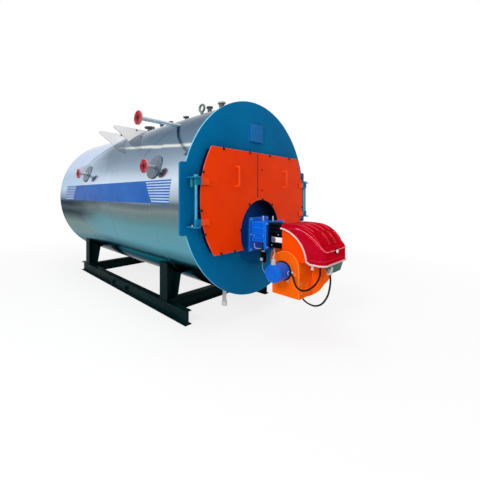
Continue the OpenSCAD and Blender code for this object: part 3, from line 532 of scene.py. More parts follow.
# Fasteners: hexagon nuts on plain washers, with the end of the stud standing out, zinc plated or
# painted over with what they hold.
nuts, nodes, given = tree_of("nuts on studs", ("Size", "Height", "Washer", "Stud"))
washer_h = nodes.maths("MULTIPLY", given["Height"], 0.25)
washer = nodes.add("GeometryNodeMeshCylinder", {"Vertices": 20, "Radius": given["Washer"], "Depth": washer_h})
head = nodes.add("GeometryNodeMeshCylinder", {"Vertices": 6, "Radius": given["Size"], "Depth": given["Height"]})
stud_r = nodes.maths("MULTIPLY", given["Size"], 0.55)
stud = nodes.add("GeometryNodeMeshCylinder", {"Vertices": 12, "Radius": stud_r, "Depth": given["Stud"]})
lifts = []
for part, height in ((washer, washer_h), (head, given["Height"]), (stud, given["Stud"])):
    rise = nodes.add("ShaderNodeCombineXYZ", {"Z": nodes.maths("MULTIPLY", height, 0.5)}).outputs[0]
    lifts.append(nodes.add("GeometryNodeTransform", {"Geometry": part.outputs[0], "Translation": rise}).outputs[0])
joined = nodes.add("GeometryNodeJoinGeometry")
for part in lifts:
    nodes.tree.links.new(part, joined.inputs[0])
close_tree(nodes, given, stand_up(nodes, given["Geometry"], joined.outputs[0]))


def bolts(name, places, size, material, body="boiler"):
    """A fastener of one size (nut, height, washer, stud) at each place, in the direction given with it."""
    sizes = dict(zip(("Size", "Height", "Washer", "Stud"), size))
    grow(name, nuts, points_of(places), sizes, material, body, 30)


m10, m12, m16 = (0.0098, 0.009, 0.0115, 0.014), (0.0115, 0.011, 0.014, 0.018), (0.0145, 0.014, 0.018, 0.022)
front = Vector((0, -1, 0))
zinc = coating("zinc", (214, 222, 226), (176, 186, 194), 0.32, 500.0, 0.0001, metal=0.35)
dark_steel = coating("dark_steel", (60, 62, 68), (34, 36, 42), 0.45, 500.0, 0.0001, metal=0.6)
cover_bolts = [(place, front) for place in circle_run(262, -20, arch_z, -18, 198, 9)]
bolts("furnace_cover_nuts", cover_bolts, (0.006, 0.005, 0.008, 0.008), cover_shade_paint)

# Smokebox doors. Each leaf is a steel plate, painted orange over primer that shows as a pale worn line at
# its edges, with a cast lining on anchors behind it. Toe clamps with a nut hold the leaf on its rim.
door_paint = coating("door_paint", (252, 68, 0), (238, 59, 0), 0.42, 260.0, 0.0002, edge_wear_and_highlight=(250, 186, 156),
                     edge=0.0045, patch=1.3, shine=0.05)
nodes, where, axes, paint = repaint(door_paint)
leaf_back = plate_y - 0.0647
lining = nodes.maths("GREATER_THAN", axes["Y"], leaf_back)
board = nodes.blend(nodes.noise(where, 7.0, 5.0), srgb(150, 142, 130), srgb(204, 198, 186))
board = nodes.blend(nodes.spread(nodes.noise(where, 160.0, 2.0), 0.62, 0.7, 0, 0.4), board, srgb(96, 88, 80))
nodes.tree.links.new(nodes.blend(lining, paint, board), base_of(door_paint))
gloss = door_paint.node_tree.nodes["Principled BSDF"].inputs["Roughness"]
nodes.tree.links.new(nodes.blend(lining, gloss.links[0].from_socket, (0.95, 0.95, 0.95, 1)), gloss)
# Painted highlight: the handles are a lighter orange than the leaves, with pale edges.
handle_paint = coating("handle_paint", (246, 84, 32), (236, 70, 20), 0.36, 260.0, 0.0002, edge_wear_and_highlight=(255, 176, 146),
                       edge=0.003)
dress(door_paint, "left_door", "right_door")
dress(handle_paint, "left_door_handle", "right_door_handle")


def add_box(work, low, high, round_by=0.0, turn=None, pivot=None):
    """A block between two corners, in metres, with its edges rounded."""
    made = bmesh.ops.create_cube(work, size=1.0)["verts"]
    size = [high[k] - low[k] for k in range(3)]
    middle = Vector([(high[k] + low[k]) / 2 for k in range(3)])
    for vert in made:
        vert.co = Vector([vert.co[k] * size[k] for k in range(3)]) + middle
    edges = {e for v in made for e in v.link_edges}
    if round_by:
        made = bmesh.ops.bevel(work, geom=list(edges), offset=round_by, segments=2, profile=0.5,
                               affect="EDGES")["verts"]
    if turn is not None:
        bmesh.ops.rotate(work, verts=list(made), cent=pivot if pivot is not None else middle, matrix=turn)
    return made


def add_rod(work, start, end, radius, sides=24, end_radius=None):
    """A round rod or cone between two places."""
    start, end = Vector(start), Vector(end)
    along = end - start
    turn = Vector((0, 0, 1)).rotation_difference(along).to_matrix().to_4x4()
    place = Matrix.Translation((start + end) / 2) @ turn
    bmesh.ops.create_cone(work, cap_ends=True, segments=sides, radius1=radius,
                          radius2=radius if end_radius is None else end_radius, depth=along.length, matrix=place)


door_face = -75
clamps = {
    "left_door": [(-630, 492, 90), (-208, 492, 90), (-908, 248, 165), (-928, -112, 187), (-884, -339, 201),
                  (-665, -546, 270), (-467, -546, 270), (-222, -68, -55), (-372, -339, -8)],
    "right_door": [(168, 492, 90), (594, 492, 90), (904, 258, 16), (928, -134, -8), (890, -300, -19),
                   (665, -546, 270), (467, -546, 270), (18, -18, -93), (210, -82, -125)],
}
for leaf, spots in clamps.items():
    work = bmesh.new()
    heads = []
    for x, z, way in spots:
        out = Vector((cos(radians(way)), 0, sin(radians(way))))
        spot = at(x, door_face, z)
        turn = Matrix.Rotation(-radians(way), 3, "Y")
        add_box(work, spot + Vector((-0.008, -0.007, -0.007)), spot + Vector((0.024, 0.0, 0.007)), 0.002, turn, spot)
        heads.append((spot + front * 0.007, front))
    build(leaf + "_clamps", work, dark_steel, leaf)
    bolts(leaf + "_clamp_nuts", heads, m10, dark_steel, leaf)
# Painted shade: the strip over the seam and its bolts are a dark orange, for the shade along the seam.
seam_shade_paint = coating("seam_shade_paint", (168, 34, 4), (150, 28, 4), 0.45, 260.0, 0.0002, edge=0.001)


def blocks(name, corners, material, body="boiler"):
    """Blocks as one piece, each from its low corner, its high corner and the rounding of its edges."""
    work = bmesh.new()
    for low, high, round_by in corners:
        add_box(work, low, high, round_by)
    build(name, work, material, body)


def rods(name, runs, material, body="boiler"):
    """Turned parts as one piece, each from its start, its end, its radius and what else add_rod takes."""
    work = bmesh.new()
    for run in runs:
        add_rod(work, *run)
    build(name, work, material, body, 30)


blocks("door_seam_strip", [(at(seam_x - 2, door_face - 3, 2), at(seam_x + 12, door_face, 500), 0.001)], seam_shade_paint,
       "right_door")
anchor_spots = ((250, 400), (620, 400), (480, 130), (780, 130), (560, -140), (800, -140), (700, -420))
for side, leaf in ((-1, "left_door"), (1, "right_door")):
    spots = [(at(side * x, -25, z), Vector((0, 1, 0))) for x, z in anchor_spots]
    bolts(leaf + "_lining_anchors", spots, m10, dark_steel, leaf)
seam_bolts = [(at(13, door_face, 321), front), (at(13, door_face, 86), front)]
bolts("door_seam_bolts", seam_bolts, m10, seam_shade_paint, "right_door")

# Door hinges. Turned pins stand in lug plates welded to the hinge plates, and the knuckles of the straps
# turn on them. The straps are welded to the leaves, and a stop stands beside each upper lug plate.
hinge_paint = coating("hinge_paint", (12, 124, 166), (6, 104, 146), 0.36, edge_wear_and_highlight=(96, 180, 204), edge=0.0025,
                      patch=6.0, shine=0.2)
dress(hinge_paint, "hinge_lugs")
# Painted highlight: the pins are a paler blue than the lugs, with pale edges.
pin_highlight_paint = coating("pin_highlight_paint", (72, 166, 196), (48, 144, 180), 0.3, edge_wear_and_highlight=(150, 214, 230), edge=0.0025, patch=8.0,
                    shine=0.35)
dress(pin_highlight_paint, "hinge_pins")

strap_paint, nodes, shader = finish_of("strap_paint")
where = nodes.add("ShaderNodeTexCoord").outputs["Object"]
across = nodes.maths("ABSOLUTE", nodes.add("ShaderNodeSeparateXYZ", {"Vector": where}).outputs["X"])
rag = nodes.maths("MULTIPLY", nodes.noise(where, 40.0, 3.0), 0.006)
outside = nodes.maths("GREATER_THAN", nodes.maths("ADD", across, rag), 0.936)
orange = nodes.blend(nodes.noise(where, 6.0), srgb(244, 66, 6), srgb(255, 80, 16))
blue = nodes.blend(nodes.noise(where, 6.0), srgb(4, 96, 138), srgb(20, 128, 166))
soft = nodes.add("ShaderNodeBevel", {"Radius": 0.003}, samples=4)
skin = nodes.add("ShaderNodeBump", {"Height": nodes.noise(where, 260.0, 2.0), "Distance": 0.0002, "Strength": 0.5,
                                    "Normal": soft.outputs[0]})
link = strap_paint.node_tree.links.new
link(nodes.blend(outside, orange, blue), shader.inputs["Base Color"])
link(skin.outputs[0], shader.inputs["Normal"])
link(nodes.spread(nodes.noise(where, 20.0), 0.3, 0.7, 0.28, 0.4), shader.inputs["Roughness"])
shader.inputs["Specular IOR Level"].default_value = 0.1
dress(strap_paint, "left_door_hinges", "right_door_hinges")

pin_x, strap_top, strap_bottom = 1000, 189, -252
stop_paint = coating("stop_paint", (56, 148, 150), (36, 126, 136), 0.42, edge_wear_and_highlight=(96, 180, 190), edge=0.0025,
                     patch=6.0, shine=0.1)
stops = [(at(x, -54, strap_top - 83), at(x + 34, -34, strap_top + 1), 0.003) for x in (-pin_x - 30, pin_x - 4)]
blocks("hinge_stops", stops, stop_paint)
# Painted shade: the welds along the straps' lower edges and ends are a dark orange.
weld_shade_paint = coating("weld_shade_paint", (150, 30, 6), (128, 24, 6), 0.5, 260.0, 0.0002, edge=0.001)
for side, leaf in ((-1, "left_door"), (1, "right_door")):
    runs = [[at(side * (pin_x - 80), -76, low - 2), at(side * (pin_x - 166), -76, low - 2),
             at(side * (pin_x - 166), -76, low + 60)] for low in (strap_top - 62, strap_bottom)]
    bar(leaf + "_strap_welds", runs, 0.0045, weld_shade_paint, leaf, pitch=0.006, depth=0.2, sides=8)
lug_nuts = [(at(side * (pin_x + 24), -58, strap_bottom - 1), Vector((0, 0, 1))) for side in (-1, 1)]
bolts("hinge_lug_nuts", lug_nuts, m10, zinc)

# Nameplate holder. A bent sheet pocket is screwed on through its left flange, and a bare aluminium plate
# would slide into it. The plate is left blank.
holder_paint = coating("holder_paint", (0, 110, 182), (0, 98, 166), 0.4, edge_wear_and_highlight=(70, 160, 200), edge=0.003, patch=4.0)
dress(holder_paint, "nameplate_holder")
holder_low = Vector(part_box("nameplate_holder")[0])
screws = [(holder_low + Vector((0.012, 0.012, rise)), front) for rise in (0.025, 0.1, 0.176)]
bolts("nameplate_screws", screws, (0.006, 0.004, 0.0075, 0.005), front_paint)

# Burner adaptor. A ribbed casting in blue enamel carries the burner on the furnace cover, with a nut at
# each corner of its flanges, raised pads on its flanks and two test cocks on its crown.
# Painted highlight: the casting's edges are a pale blue.
burner_blue = coating("burner_blue", (0, 112, 232), (0, 98, 216), 0.32, 180.0, 0.0003, edge_wear_and_highlight=(120, 196, 250),
                      edge=0.005, patch=8.0, shine=0.15)
dress(burner_blue, "burner_adaptor")
pads = [(at(x, -230, z - 2.5), at(x + 6, -50, z + 2.5), 0.0015) for x in (-137, 131) for z in (-330, -386, -442)]
pads.append((at(-95, -226, -268), at(95, -54, -261), 0.003))
blocks("adaptor_pads", pads, burner_blue)
flange_nuts = [(at(x, -48, z), front) for x in (-154, 154) for z in (-243, -410, -577)]
flange_nuts += [(at(x, -260, z), front) for x, z in ((-154, -275), (154, -275), (-154, -525))]
bolts("adaptor_nuts", flange_nuts, m12, burner_blue)
cocks = [(at(x, y, low), at(x, y, high), *form) for x, y in ((22, -88), (62, -190))
         for low, high, *form in ((-262, -240, 0.009, 6), (-240, -222, 0.008, 16), (-222, -206, 0.008, 16, 0.003))]
heads = [(at(side * 132, y, z), at(side * 143, y, z), 0.0065, 6) for side in (-1, 1)
         for y, z in ((-80, -416), (-206, -410), (-212, -470))]
rods("adaptor_fittings", cocks + heads, zinc)
rod_run = [at(*p) for p in ((-114, -66, -506), (-114, -66, -546), (-113, -70, -556), (-110, -80, -562),
                            (-104, -100, -564), (-96, -136, -564))]
bar("adaptor_rod", [rod_run], 0.0045, zinc, pitch=0.01, sides=12)

# Control box. A moulded black housing bolted to the burner's side: a stepped, ribbed top, a parting line,
# corner screws and a bare silver label place.
# Painted highlight: its edges are grey, on the housing's ribs and steps and on every other piece in it.
black_plastic = coating("black_plastic", (14, 19, 27), (8, 11, 16), 0.38, 700.0, 0.0002, edge=0.004,
                        edge_wear_and_highlight=(70, 78, 84), patch=10.0, shine=0.02)
label_silver = coating("label_silver", (248, 248, 250), (236, 236, 240), 0.4, 300.0, 0.00005)
dress(black_plastic, "control_box")
box_low, box_high = (Vector(c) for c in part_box("control_box"))
wide, long, tall = box_high - box_low


def on_box(x, y, z):
    """A place in metres from the control box's lowest corner."""
    return box_low + Vector((x, y, z))


ribs = [(on_box(0.006, 0.018 + 0.028 * k, tall - 0.002), on_box(wide - 0.01, 0.030 + 0.028 * k, tall + 0.006), 0.002)
        for k in range(6)]
steps = [(on_box(-0.005, 0.004, z), on_box(0.002, long - 0.004, z + 0.007), 0.002) for z in (0.172, 0.205, 0.238)]
cover = [(on_box(-0.007, 0.010, 0.014), on_box(0.002, long - 0.030, 0.165), 0.004)]
blocks("control_box_forms", ribs + steps + cover, black_plastic)
blocks("control_box_label", [(on_box(-0.0082, 0.022, 0.062), on_box(-0.0065, 0.150, 0.114), 0.0004)], label_silver)
label_grey = coating("label_grey", (92, 104, 126), (78, 90, 112), 0.4, 300.0, 0.00005)
blocks("control_box_field", [(on_box(-0.0087, 0.106, 0.064), on_box(-0.008, 0.148, 0.112), 0.0002)], label_grey)
left = Vector((-1, 0, 0))
screws = [(on_box(-0.007, y, z), left) for y, z in ((0.072, 0.142), (0.020, 0.026), (0.150, 0.026))]
bolts("control_box_screws", screws, (0.005, 0.003, 0.0065, 0.0035), zinc)

# Burner body and fan. Pressed and spot-welded casings in orange powder coat: an upright inlet box with a
# round top on the left, the scroll casing with rolled rims on the right, and the burner head above.
burner_orange = coating("burner_orange", (242, 82, 2), (232, 70, 0), 0.36, 300.0, 0.0002, edge_wear_and_highlight=(255, 150, 84),
                        edge=0.005, patch=5.0, shine=0.02)
dress(burner_orange, "burner_body")
# Painted highlight: the casings' edges are a pale orange.
fan_orange = coating("fan_orange", (255, 110, 26), (248, 98, 18), 0.36, 300.0, 0.0002, edge_wear_and_highlight=(255, 190, 140),
                     edge=0.006, metal=0.2, patch=5.0, shine=0.0, glare=(1.0, 0.4, 0.12))
dress(fan_orange, "fan_inlet", "fan_volute")
# Painted highlight: the rolled rims and the inlet's panel lines are a paler orange.
rim_highlight_orange = coating("rim_highlight_orange", (255, 132, 52), (250, 116, 36), 0.36, 300.0, 0.0002, edge=0.002)
fan_y, fan_z, inlet_y, inlet_z = -488, -712, -516, -664


def arc_run(x, y, z, radius, start, end, steps=40):
    """Places round an arc across the burner, seen along X."""
    return [at(x, y + radius * cos(radians(start + (end - start) * k / steps)),
               z + radius * sin(radians(start + (end - start) * k / steps))) for k in range(steps + 1)]


arch = arc_run(-218, inlet_y, inlet_z, 142, 180, 0)
rims = [[at(-218, inlet_y - 142, -955)] + arch + [at(-218, inlet_y + 142, -955)]]
rims += [arc_run(x, fan_y, fan_z, r, 230, -130, 90) for x, r in ((78, 269), (120, 269), (170, 269), (280, 267))]
bar("casing_rims", rims, 0.006, rim_highlight_orange)
panel = [(at(-232, inlet_y - 118, -745), at(-218, inlet_y - 96, -715), 0.003)]
for x0, x1, z0, z1 in ((-190, 28, -804, -800), (-190, 28, -918, -914), (-190, -186, -918, -800), (24, 28, -918, -800),
                       (-96, -92, -914, -804), (-60, -56, -914, -804)):
    panel.append((at(x0, -666.5, z0), at(x1, -662, z1), 0.001))
blocks("inlet_panel", panel, rim_highlight_orange)
screws = [(at(x, -664, z), front) for x, z in ((-180, -812), (-180, -906), (18, -906))]
bolts("inlet_screws", screws, (0.0055, 0.0035, 0.0075, 0.004), zinc)
casing_side = (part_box("fan_volute")[1][0] - at(0, 0, 0).x) * 1000
screws = [(place, Vector((1, 0, 0))) for place in arc_run(casing_side, fan_y, fan_z, 246, 0, 330, 11)]
bolts("casing_screws", screws, m10, zinc)

# Fan motor. A flange-mounted motor in blue enamel on the inlet box: a dark foot ring, clamping nuts, a
# terminal gland on top with its pale cable from the control box, and another at the side for the sleeve.
motor_blue = coating("motor_blue", (0, 98, 204), (0, 84, 190), 0.3, 180.0, 0.0003, edge_wear_and_highlight=(40, 140, 232), edge=0.004,
                     patch=8.0, shine=0.15)
dress(motor_blue, "fan_motor")
rods("motor_rim", [(at(-393.5, fan_y, fan_z), at(-388.5, fan_y, fan_z), 0.0882, 64)], motor_blue)
rods("motor_foot_ring", [(at(-230, fan_y, fan_z), at(-219, fan_y, fan_z), 0.096, 64)],
     black_plastic)
gland_x, gland_z = -378, fan_z + 84
glands = [(at(gland_x, fan_y, gland_z + low), at(gland_x, fan_y, gland_z + high), radius, sides)
          for low, high, radius, sides in ((0, 16, 0.025, 6), (16, 34, 0.017, 24), (34, 48, 0.021, 6),
                                           (48, 58, 0.012, 24))]
glands.append((at(-262, -573, -712), at(-262, -580, -712), 0.019, 6))
rods("motor_glands", glands, zinc)
pale_rubber = coating("pale_rubber", (196, 200, 200), (168, 174, 176), 0.5, 300.0, 0.0001, edge=0.001)
cable_run = smooth_route([(gland_x, fan_y, gland_z + 56), (gland_x + 2, fan_y + 4, gland_z + 72),
                          (-318, -460, -540), (-262, -422, -532), (-200, -380, -532), (-146, -350, -534),
                          (-118, -330, -530), (-112, -322, -519)], 6)
bar("motor_cable", [cable_run], 0.006, pale_rubber, pitch=0.01, sides=12)
lug_bolts = [(at(-220, fan_y - 106 * cos(radians(a)), fan_z + 106 * sin(radians(a))), Vector((-1, 0, 0)))
             for a in (0, -58, -122, 180)]
bolts("motor_nuts", lug_bolts, m10, zinc)

# Hood. A glossy red moulded cover over the burner's controls: a crowned back with long ribs, louvres on
# the slope, a ledge above the upright front, and a pale rubber trim along its lower edge.
# Painted highlight: the moulding's edges are pink.
hood_red = coating("hood_red", (190, 20, 44), (174, 16, 38), 0.2, 120.0, 0.00003, edge=0.009, edge_wear_and_highlight=(240, 90, 100),
                   metal=0.45, patch=4.0, shine=0.0, glare=(1.0, 0.25, 0.3))
trim_grey = coating("trim_grey", (222, 190, 190), (204, 170, 172), 0.5, 400.0, 0.0001, edge=0.002)
dress(hood_red, "burner_hood")
hood_left, hood_right, hood_front, hood_foot, edge_r, edge_y, corner = -230, 280, -905, -606, 310, -430, 60


def skirt_run(out, z):
    """Places along the hood's side, round its front corners and along its other side."""
    reach = corner + out
    half = [(hood_left - out, -772, z)]
    half += [(hood_left + corner - reach * cos(radians(a)), hood_front + corner - reach * sin(radians(a)), z)
             for a in range(0, 91, 10)]
    width = hood_left + hood_right
    return half + [(width - x, y, z) for x, y, z in reversed(half)]


arc = [(hood_left - 2, edge_y + edge_r * cos(radians(a)), hood_foot + 3 + edge_r * sin(radians(a)))
       for a in range(98, 179, 3)]
trim = arc + skirt_run(2, hood_foot + 5) + [(hood_left + hood_right - x, y, z) for x, y, z in reversed(arc)]
bar("hood_trim", [[at(*p) for p in trim]], 0.0085, trim_grey)
bar("hood_bead", [[at(*p) for p in skirt_run(-1, hood_foot + 46)]], 0.0035, hood_red)
# Painted highlight: thin pale pink bars along the crown's edges and the ledge.
hood_highlight_line = coating("hood_highlight_line", (250, 150, 160), (236, 110, 124), 0.3, 120.0, 0.00003, edge=0.001)
crease = [(-206, -565 - 357 * sin(radians(a)), -640 + 357 * cos(radians(a))) for a in range(9, 47, 3)]
crease += [(-206, -845, -418), (-206, -870, -444), (-201, -886, -460), (-190, -897, -472), (-172, -905, -480),
           (-140, -906, -480)]
ledge = [(-112, -906, -480), (225, -906, -480), (248, -897, -472)]
right_crease = [(hood_left + hood_right - x, y, z) for x, y, z in crease[:-4]]
creases = [[at(*p) for p in run] for run in (crease, ledge, right_crease)]
bar("hood_crease_highlights", creases, 0.0033, hood_highlight_line)
quarter = Matrix.Rotation(pi / 2, 4, "X")
for name, y, radius, depth, material in (("hood_badge_ring", -905, 0.026, 0.012, black_plastic),
                                         ("hood_badge", -911.5, 0.017, 0.003, label_silver)):
    work = bmesh.new()
    oval = Matrix.Translation(at(29, y, -491)) @ Matrix.Diagonal((1.5, 1.0, 1.0, 1.0)) @ quarter
    bmesh.ops.create_cone(work, cap_ends=True, segments=40, radius1=radius, radius2=radius, depth=depth, matrix=oval)
    build(name, work, material)
rods("hood_stud", [(at(-206, -786, -640), at(-206, -786, -610), 0.012, 20),
                   (at(-206, -786, -650), at(-206, -786, -640), 0.016, 20, 0.012)], trim_grey)
rods("hood_fittings", [(at(-48, -872, -690), at(-20, -872, -640), 0.021, 20),
                       (at(-54, -872, -704), at(-48, -872, -690), 0.024, 6)], zinc)

# Tray, pressure switch and capillary. The grey-green moulded tray closes the hood from below, and the
# air pressure switch hangs from the adaptor with a silver dial and a thin tube to the fan.
tray_green = coating("tray_green", (76, 110, 100), (60, 94, 86), 0.42, 500.0, 0.0002, edge=0.004)
dress(tray_green, "hood_tray")
dress(black_plastic, "pressure_switch")
rods("switch_case", [(at(-92, -150, -678), at(-101, -150, -678), 0.031, 32)], black_plastic)
rods("switch_dials", [(at(-100, -150, -678), at(-103, -150, -678), 0.02, 32),
                      (at(-62, -150, -597), at(-62, -150, -583), 0.02, 6)], zinc)
tube_run = smooth_route([(-62, -150, -705), (-84, -152, -728), (-100, -168, -776), (-120, -215, -824),
                         (-156, -280, -850), (-190, -345, -856), (-206, -370, -850)], 8)
bar("switch_tube", [tube_run], 0.0022, pale_rubber, pitch=0.01, sides=8)

# Side nozzles. Primed pipes come through the cladding with a forged flange in red primer at the end and,
# on the lower ones, a round stainless cover plate over the cut in the sheet.
pipe_steel = coating("pipe_steel", (196, 210, 218), (166, 182, 190), 0.3, 300.0, 0.0002, metal=0.65, edge=0.002)
flange_paint = coating("flange_paint", (168, 34, 50), (140, 26, 40), 0.45, 300.0, 0.0003, edge_wear_and_highlight=(226, 168, 170),
                       edge=0.006, patch=20.0)


def facing_of(nodes):
    """The X, Y and Z of the way that each face looks."""
    facing = nodes.add("ShaderNodeNewGeometry").outputs["True Normal"]
    return nodes.add("ShaderNodeSeparateXYZ", {"Vector": facing}).outputs


# Painted highlight: the flanges' rims are pale pink and their edges paler. The faces turned towards the drum are
# grey.
nodes, where, axes, primer_and_painted_light = repaint(flange_paint)
inward = nodes.maths("MULTIPLY", facing_of(nodes)["X"], nodes.maths("SIGN", axes["X"]))
for limit, tone in ((0.5, srgb(196, 128, 134)), (-0.5, srgb(132, 130, 132))):
    primer_and_painted_light = nodes.blend(nodes.maths("LESS_THAN", inward, limit), primer_and_painted_light, tone)
side_nozzles = ((561, 826, 1216), (561, 334, 1148), (2510, 363, 1148))
# Painted shade: a dark ring round each bore's mouth.
for y, z, back in side_nozzles:
    off = [nodes.maths("SUBTRACT", axes[k], at(0, y, z)[j]) for k, j in (("Y", 1), ("Z", 2))]
    off = nodes.maths("SQRT", nodes.maths("MULTIPLY_ADD", off[0], off[0], nodes.maths("MULTIPLY", off[1], off[1])))
    primer_and_painted_light = nodes.blend(nodes.spread(off, 0.03, 0.042, 0.85, 0), primer_and_painted_light, srgb(88, 22, 32))
nodes.tree.links.new(primer_and_painted_light, base_of(flange_paint))
rosette_steel = coating("rosette_steel", (118, 134, 146), (92, 108, 120), 0.34, 200.0, 0.0002, metal=0.9,
                        edge=0.002)
dress(pipe_steel, "side_pipes")
dress(flange_paint, "side_flanges")
dress(rosette_steel, "rosettes")
hubs = [(at(side * (back - 20), y, z), at(side * (back + 1), y, z), 0.027, 32, 0.036)
        for side in (-1, 1) for y, z, back in side_nozzles]
rods("flange_hubs", hubs, flange_paint)

# Platform brackets. Plates of pale primed steel stand on the drum in pairs, with holes and bolts for the
# walkway.
bracket_paint = coating("bracket_paint", (238, 236, 234), (226, 224, 222), 0.5, 300.0, 0.0002,
                        edge_wear_and_highlight=(226, 226, 226), edge=0.002)
nodes, where, axes, pale = repaint(bracket_paint)
# Painted shade: faces turned downwards are dark.
painted_underside_shade = nodes.blend(nodes.maths("LESS_THAN", facing_of(nodes)["Z"], -0.3), pale, srgb(70, 88, 98))
nodes.tree.links.new(painted_underside_shade, base_of(bracket_paint))
dress(bracket_paint, "platform_brackets")
bracket_bolts = [(at(side * 605, y, 985), front) for side in (-1, 1) for y in (1700, 2190)]
bolts("bracket_bolts", bracket_bolts, m10, dark_steel)

# Crown fittings. Short dark stubs for the valves and the manhole stand along the top of the drum.
crown_dark = coating("crown_dark", (118, 120, 124), (70, 72, 78), 0.5, 200.0, 0.0004, edge=0.003, patch=14.0)
nodes, where, axes, dark = repaint(crown_dark)
cap = nodes.maths("MULTIPLY", nodes.maths("GREATER_THAN", axes["Z"], axis_z + 1.2265),
                  nodes.maths("LESS_THAN", axes["Y"], plate_y + 0.65))
nodes.tree.links.new(nodes.blend(cap, dark, srgb(176, 178, 174)), base_of(crown_dark))
eye_paint = coating("eye_paint", (130, 148, 142), (86, 102, 98), 0.45, 200.0, 0.0004, edge_wear_and_highlight=(196, 212, 206),
                    edge=0.003, patch=14.0)
dress(crown_dark, "crown_nozzles", "steam_nozzle")
dress(eye_paint, "front_lifting_eye", "rear_lifting_eye")

# Skid and legs. Rolled beams and welded plates under a dark green satin paint carry the drum.
frame_paint = coating("frame_paint", (10, 40, 42), (5, 26, 28), 0.4, 160.0, 0.0004, edge_wear_and_highlight=(52, 88, 90), edge=0.003,
                      patch=3.0, shine=0.03)
dress(frame_paint, "skid_rails", "skid_crossbeams", "front_legs", "rear_legs")
stubs = [(at(x, y - 14, -1344), at(x + 38, y + 14, -1296), 0.003) for x in (-771, 733) for y in (1760, 2172)]
blocks("rail_stubs", stubs, frame_paint)

# Drain. A short galvanised pipe with a socket hangs under the front of the drum.
drain_zinc = coating("drain_zinc", (214, 218, 220), (180, 186, 190), 0.42, 90.0, 0.0002, metal=0.3)
dress(drain_zinc, "drain_pipe")
drain_low, drain_high = (Vector(c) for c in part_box("drain_pipe"))
drain_end = (drain_low + drain_high) / 2
drain_end.z = drain_low.z + 0.001
rods("drain_socket", [(drain_end, drain_end + Vector((0, 0, 0.055)), (drain_high.x - drain_low.x) / 2 + 0.006, 32)],
     label_silver)

# Rear end. A plain painted plate closes the drum, with a round inspection cover and the flue's flange.
dress(front_paint, "rear_plate", "rear_cover", "flue_outlet")
cover_nuts = [(at(300 * cos(2 * pi * k / 16), 3741, -250 + 300 * sin(2 * pi * k / 16)), Vector((0, 1, 0)))
              for k in range(16)]
bolts("rear_cover_nuts", cover_nuts, m16, dark_steel)

# Tube sheet and fire tubes. Bare boiler plate, brown with soot, closes the smokebox's back, and the
# rolled ends of the tubes stand in it. Near-black discs inside them stand for the bores: soot and painted shade.
boiler_steel = coating("boiler_steel", (74, 64, 58), (44, 38, 36), 0.7, 60.0, 0.0008, edge_wear_and_highlight=(120, 106, 98),
                       edge=0.002, patch=6.0)
tube_steel = coating("tube_steel", (158, 140, 126), (112, 96, 86), 0.55, 60.0, 0.0006, edge_wear_and_highlight=(190, 174, 162),
                     edge=0.002, patch=8.0)
dress(boiler_steel, "tube_sheet")
dress(tube_steel, "fire_tubes")
pitch = 0.105
row = pitch * sqrt(3) / 2
tubes = set()
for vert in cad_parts["fire_tubes"].data.vertices:
    j = round((vert.co.z - axis_z) / row)
    tubes.add((round(vert.co.x / pitch - j % 2 / 2) + j % 2 / 2, j))
discs, nodes, given = tree_of("discs", ("Radius", "Depth"))
disc = nodes.add("GeometryNodeMeshCylinder", {"Vertices": 24, "Radius": given["Radius"], "Depth": given["Depth"]})
close_tree(nodes, given, stand_up(nodes, given["Geometry"], disc.outputs[0]))
# Painted shade with soot: the open bores are near-black discs on the plate.
bore_soot_and_shade = coating("bore_soot_and_shade", (14, 12, 11), (4, 4, 4), 0.9, 90.0, 0.0006, patch=6.0)
bores = [(at(i * pitch * 1000, 379, j * row * 1000), front) for i, j in sorted(tubes)]
grow("tube_bores", discs, points_of(bores), {"Radius": 0.0212, "Depth": 0.006}, bore_soot_and_shade, smooth=30)

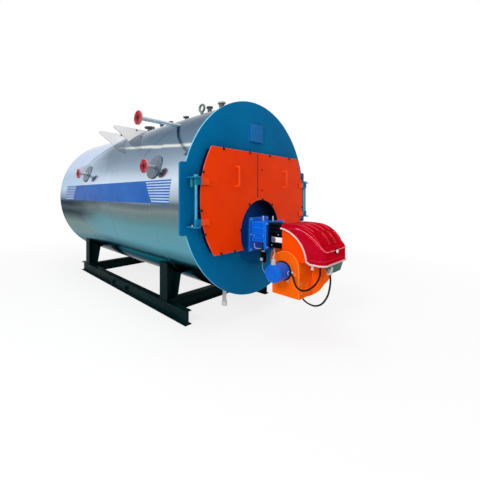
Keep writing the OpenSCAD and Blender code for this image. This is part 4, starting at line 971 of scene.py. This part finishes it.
# Studio. A pale floor and even soft light from two square lamps, one high at the front left and one above.
floor_data = bpy.data.meshes.new("floor")
floor_data.from_pydata([(-60, -60, 0), (60, -60, 0), (60, 60, 0), (-60, 60, 0)], [], [(0, 1, 2, 3)])
studio_floor = bpy.data.objects.new("studio_floor", floor_data)
bpy.context.collection.objects.link(studio_floor)
floor_white, nodes, shader = finish_of("floor_white")
shader.inputs["Base Color"].default_value = (0.86, 0.86, 0.86, 1)
shader.inputs["Roughness"].default_value = 0.9
path = nodes.add("ShaderNodeLightPath").outputs
seen = nodes.maths("MAXIMUM", path["Is Camera Ray"], path["Is Glossy Ray"])
where = nodes.add("ShaderNodeTexCoord").outputs["Object"]
away = nodes.add("ShaderNodeVectorMath", {0: where}, operation="LENGTH").outputs["Value"]
share = nodes.maths("MULTIPLY", seen, nodes.spread(away, 2.4, 6.0, 0.8, 1.0))
glow = nodes.add("ShaderNodeEmission", {"Color": (1, 1, 1, 1), "Strength": 1.0})
mixed = nodes.add("ShaderNodeMixShader", {0: share, 1: shader.outputs[0], 2: glow.outputs[0]})
out = floor_white.node_tree.nodes["Material Output"]
floor_white.node_tree.links.new(mixed.outputs[0], out.inputs["Surface"])
floor_data.materials.append(floor_white)

world = bpy.data.worlds.new("studio")
world.use_nodes = True
bpy.context.scene.world = world
nodes = Nodes(world.node_tree)
path = nodes.add("ShaderNodeLightPath").outputs
seen = nodes.maths("MAXIMUM", nodes.maths("MAXIMUM", path["Is Camera Ray"], path["Is Glossy Ray"]),
                   path["Is Transmission Ray"])
strength = nodes.spread(seen, 0, 1, 0.55, 1.0)
backdrop = world.node_tree.nodes["Background"]
backdrop.inputs["Color"].default_value = (1, 1, 1, 1)
world.node_tree.links.new(strength, backdrop.inputs["Strength"])


def soft_lamp(name, place, aim, size, power):
    """A rectangular soft lamp turned towards a place."""
    data = bpy.data.lights.new(name, "AREA")
    data.shape = "RECTANGLE"
    data.size, data.size_y = size
    data.energy = power
    lamp = bpy.data.objects.new(name, data)
    bpy.context.collection.objects.link(lamp)
    lamp.location = place
    lamp.rotation_euler = (Vector(aim) - Vector(place)).to_track_quat("-Z", "Y").to_euler()
    lamp.visible_glossy = False
    return lamp


key = soft_lamp("key_lamp", (-8.0, -3.0, 5.5), (0, -1, 1.2), (2.6, 2.6), 400)
key.visible_glossy = True
soft_lamp("top_lamp", (-1.0, -1.5, 7.0), (0, -1.5, 1.0), (4.0, 4.0), 190)

scene = bpy.context.scene
scene.view_settings.view_transform = "Standard"
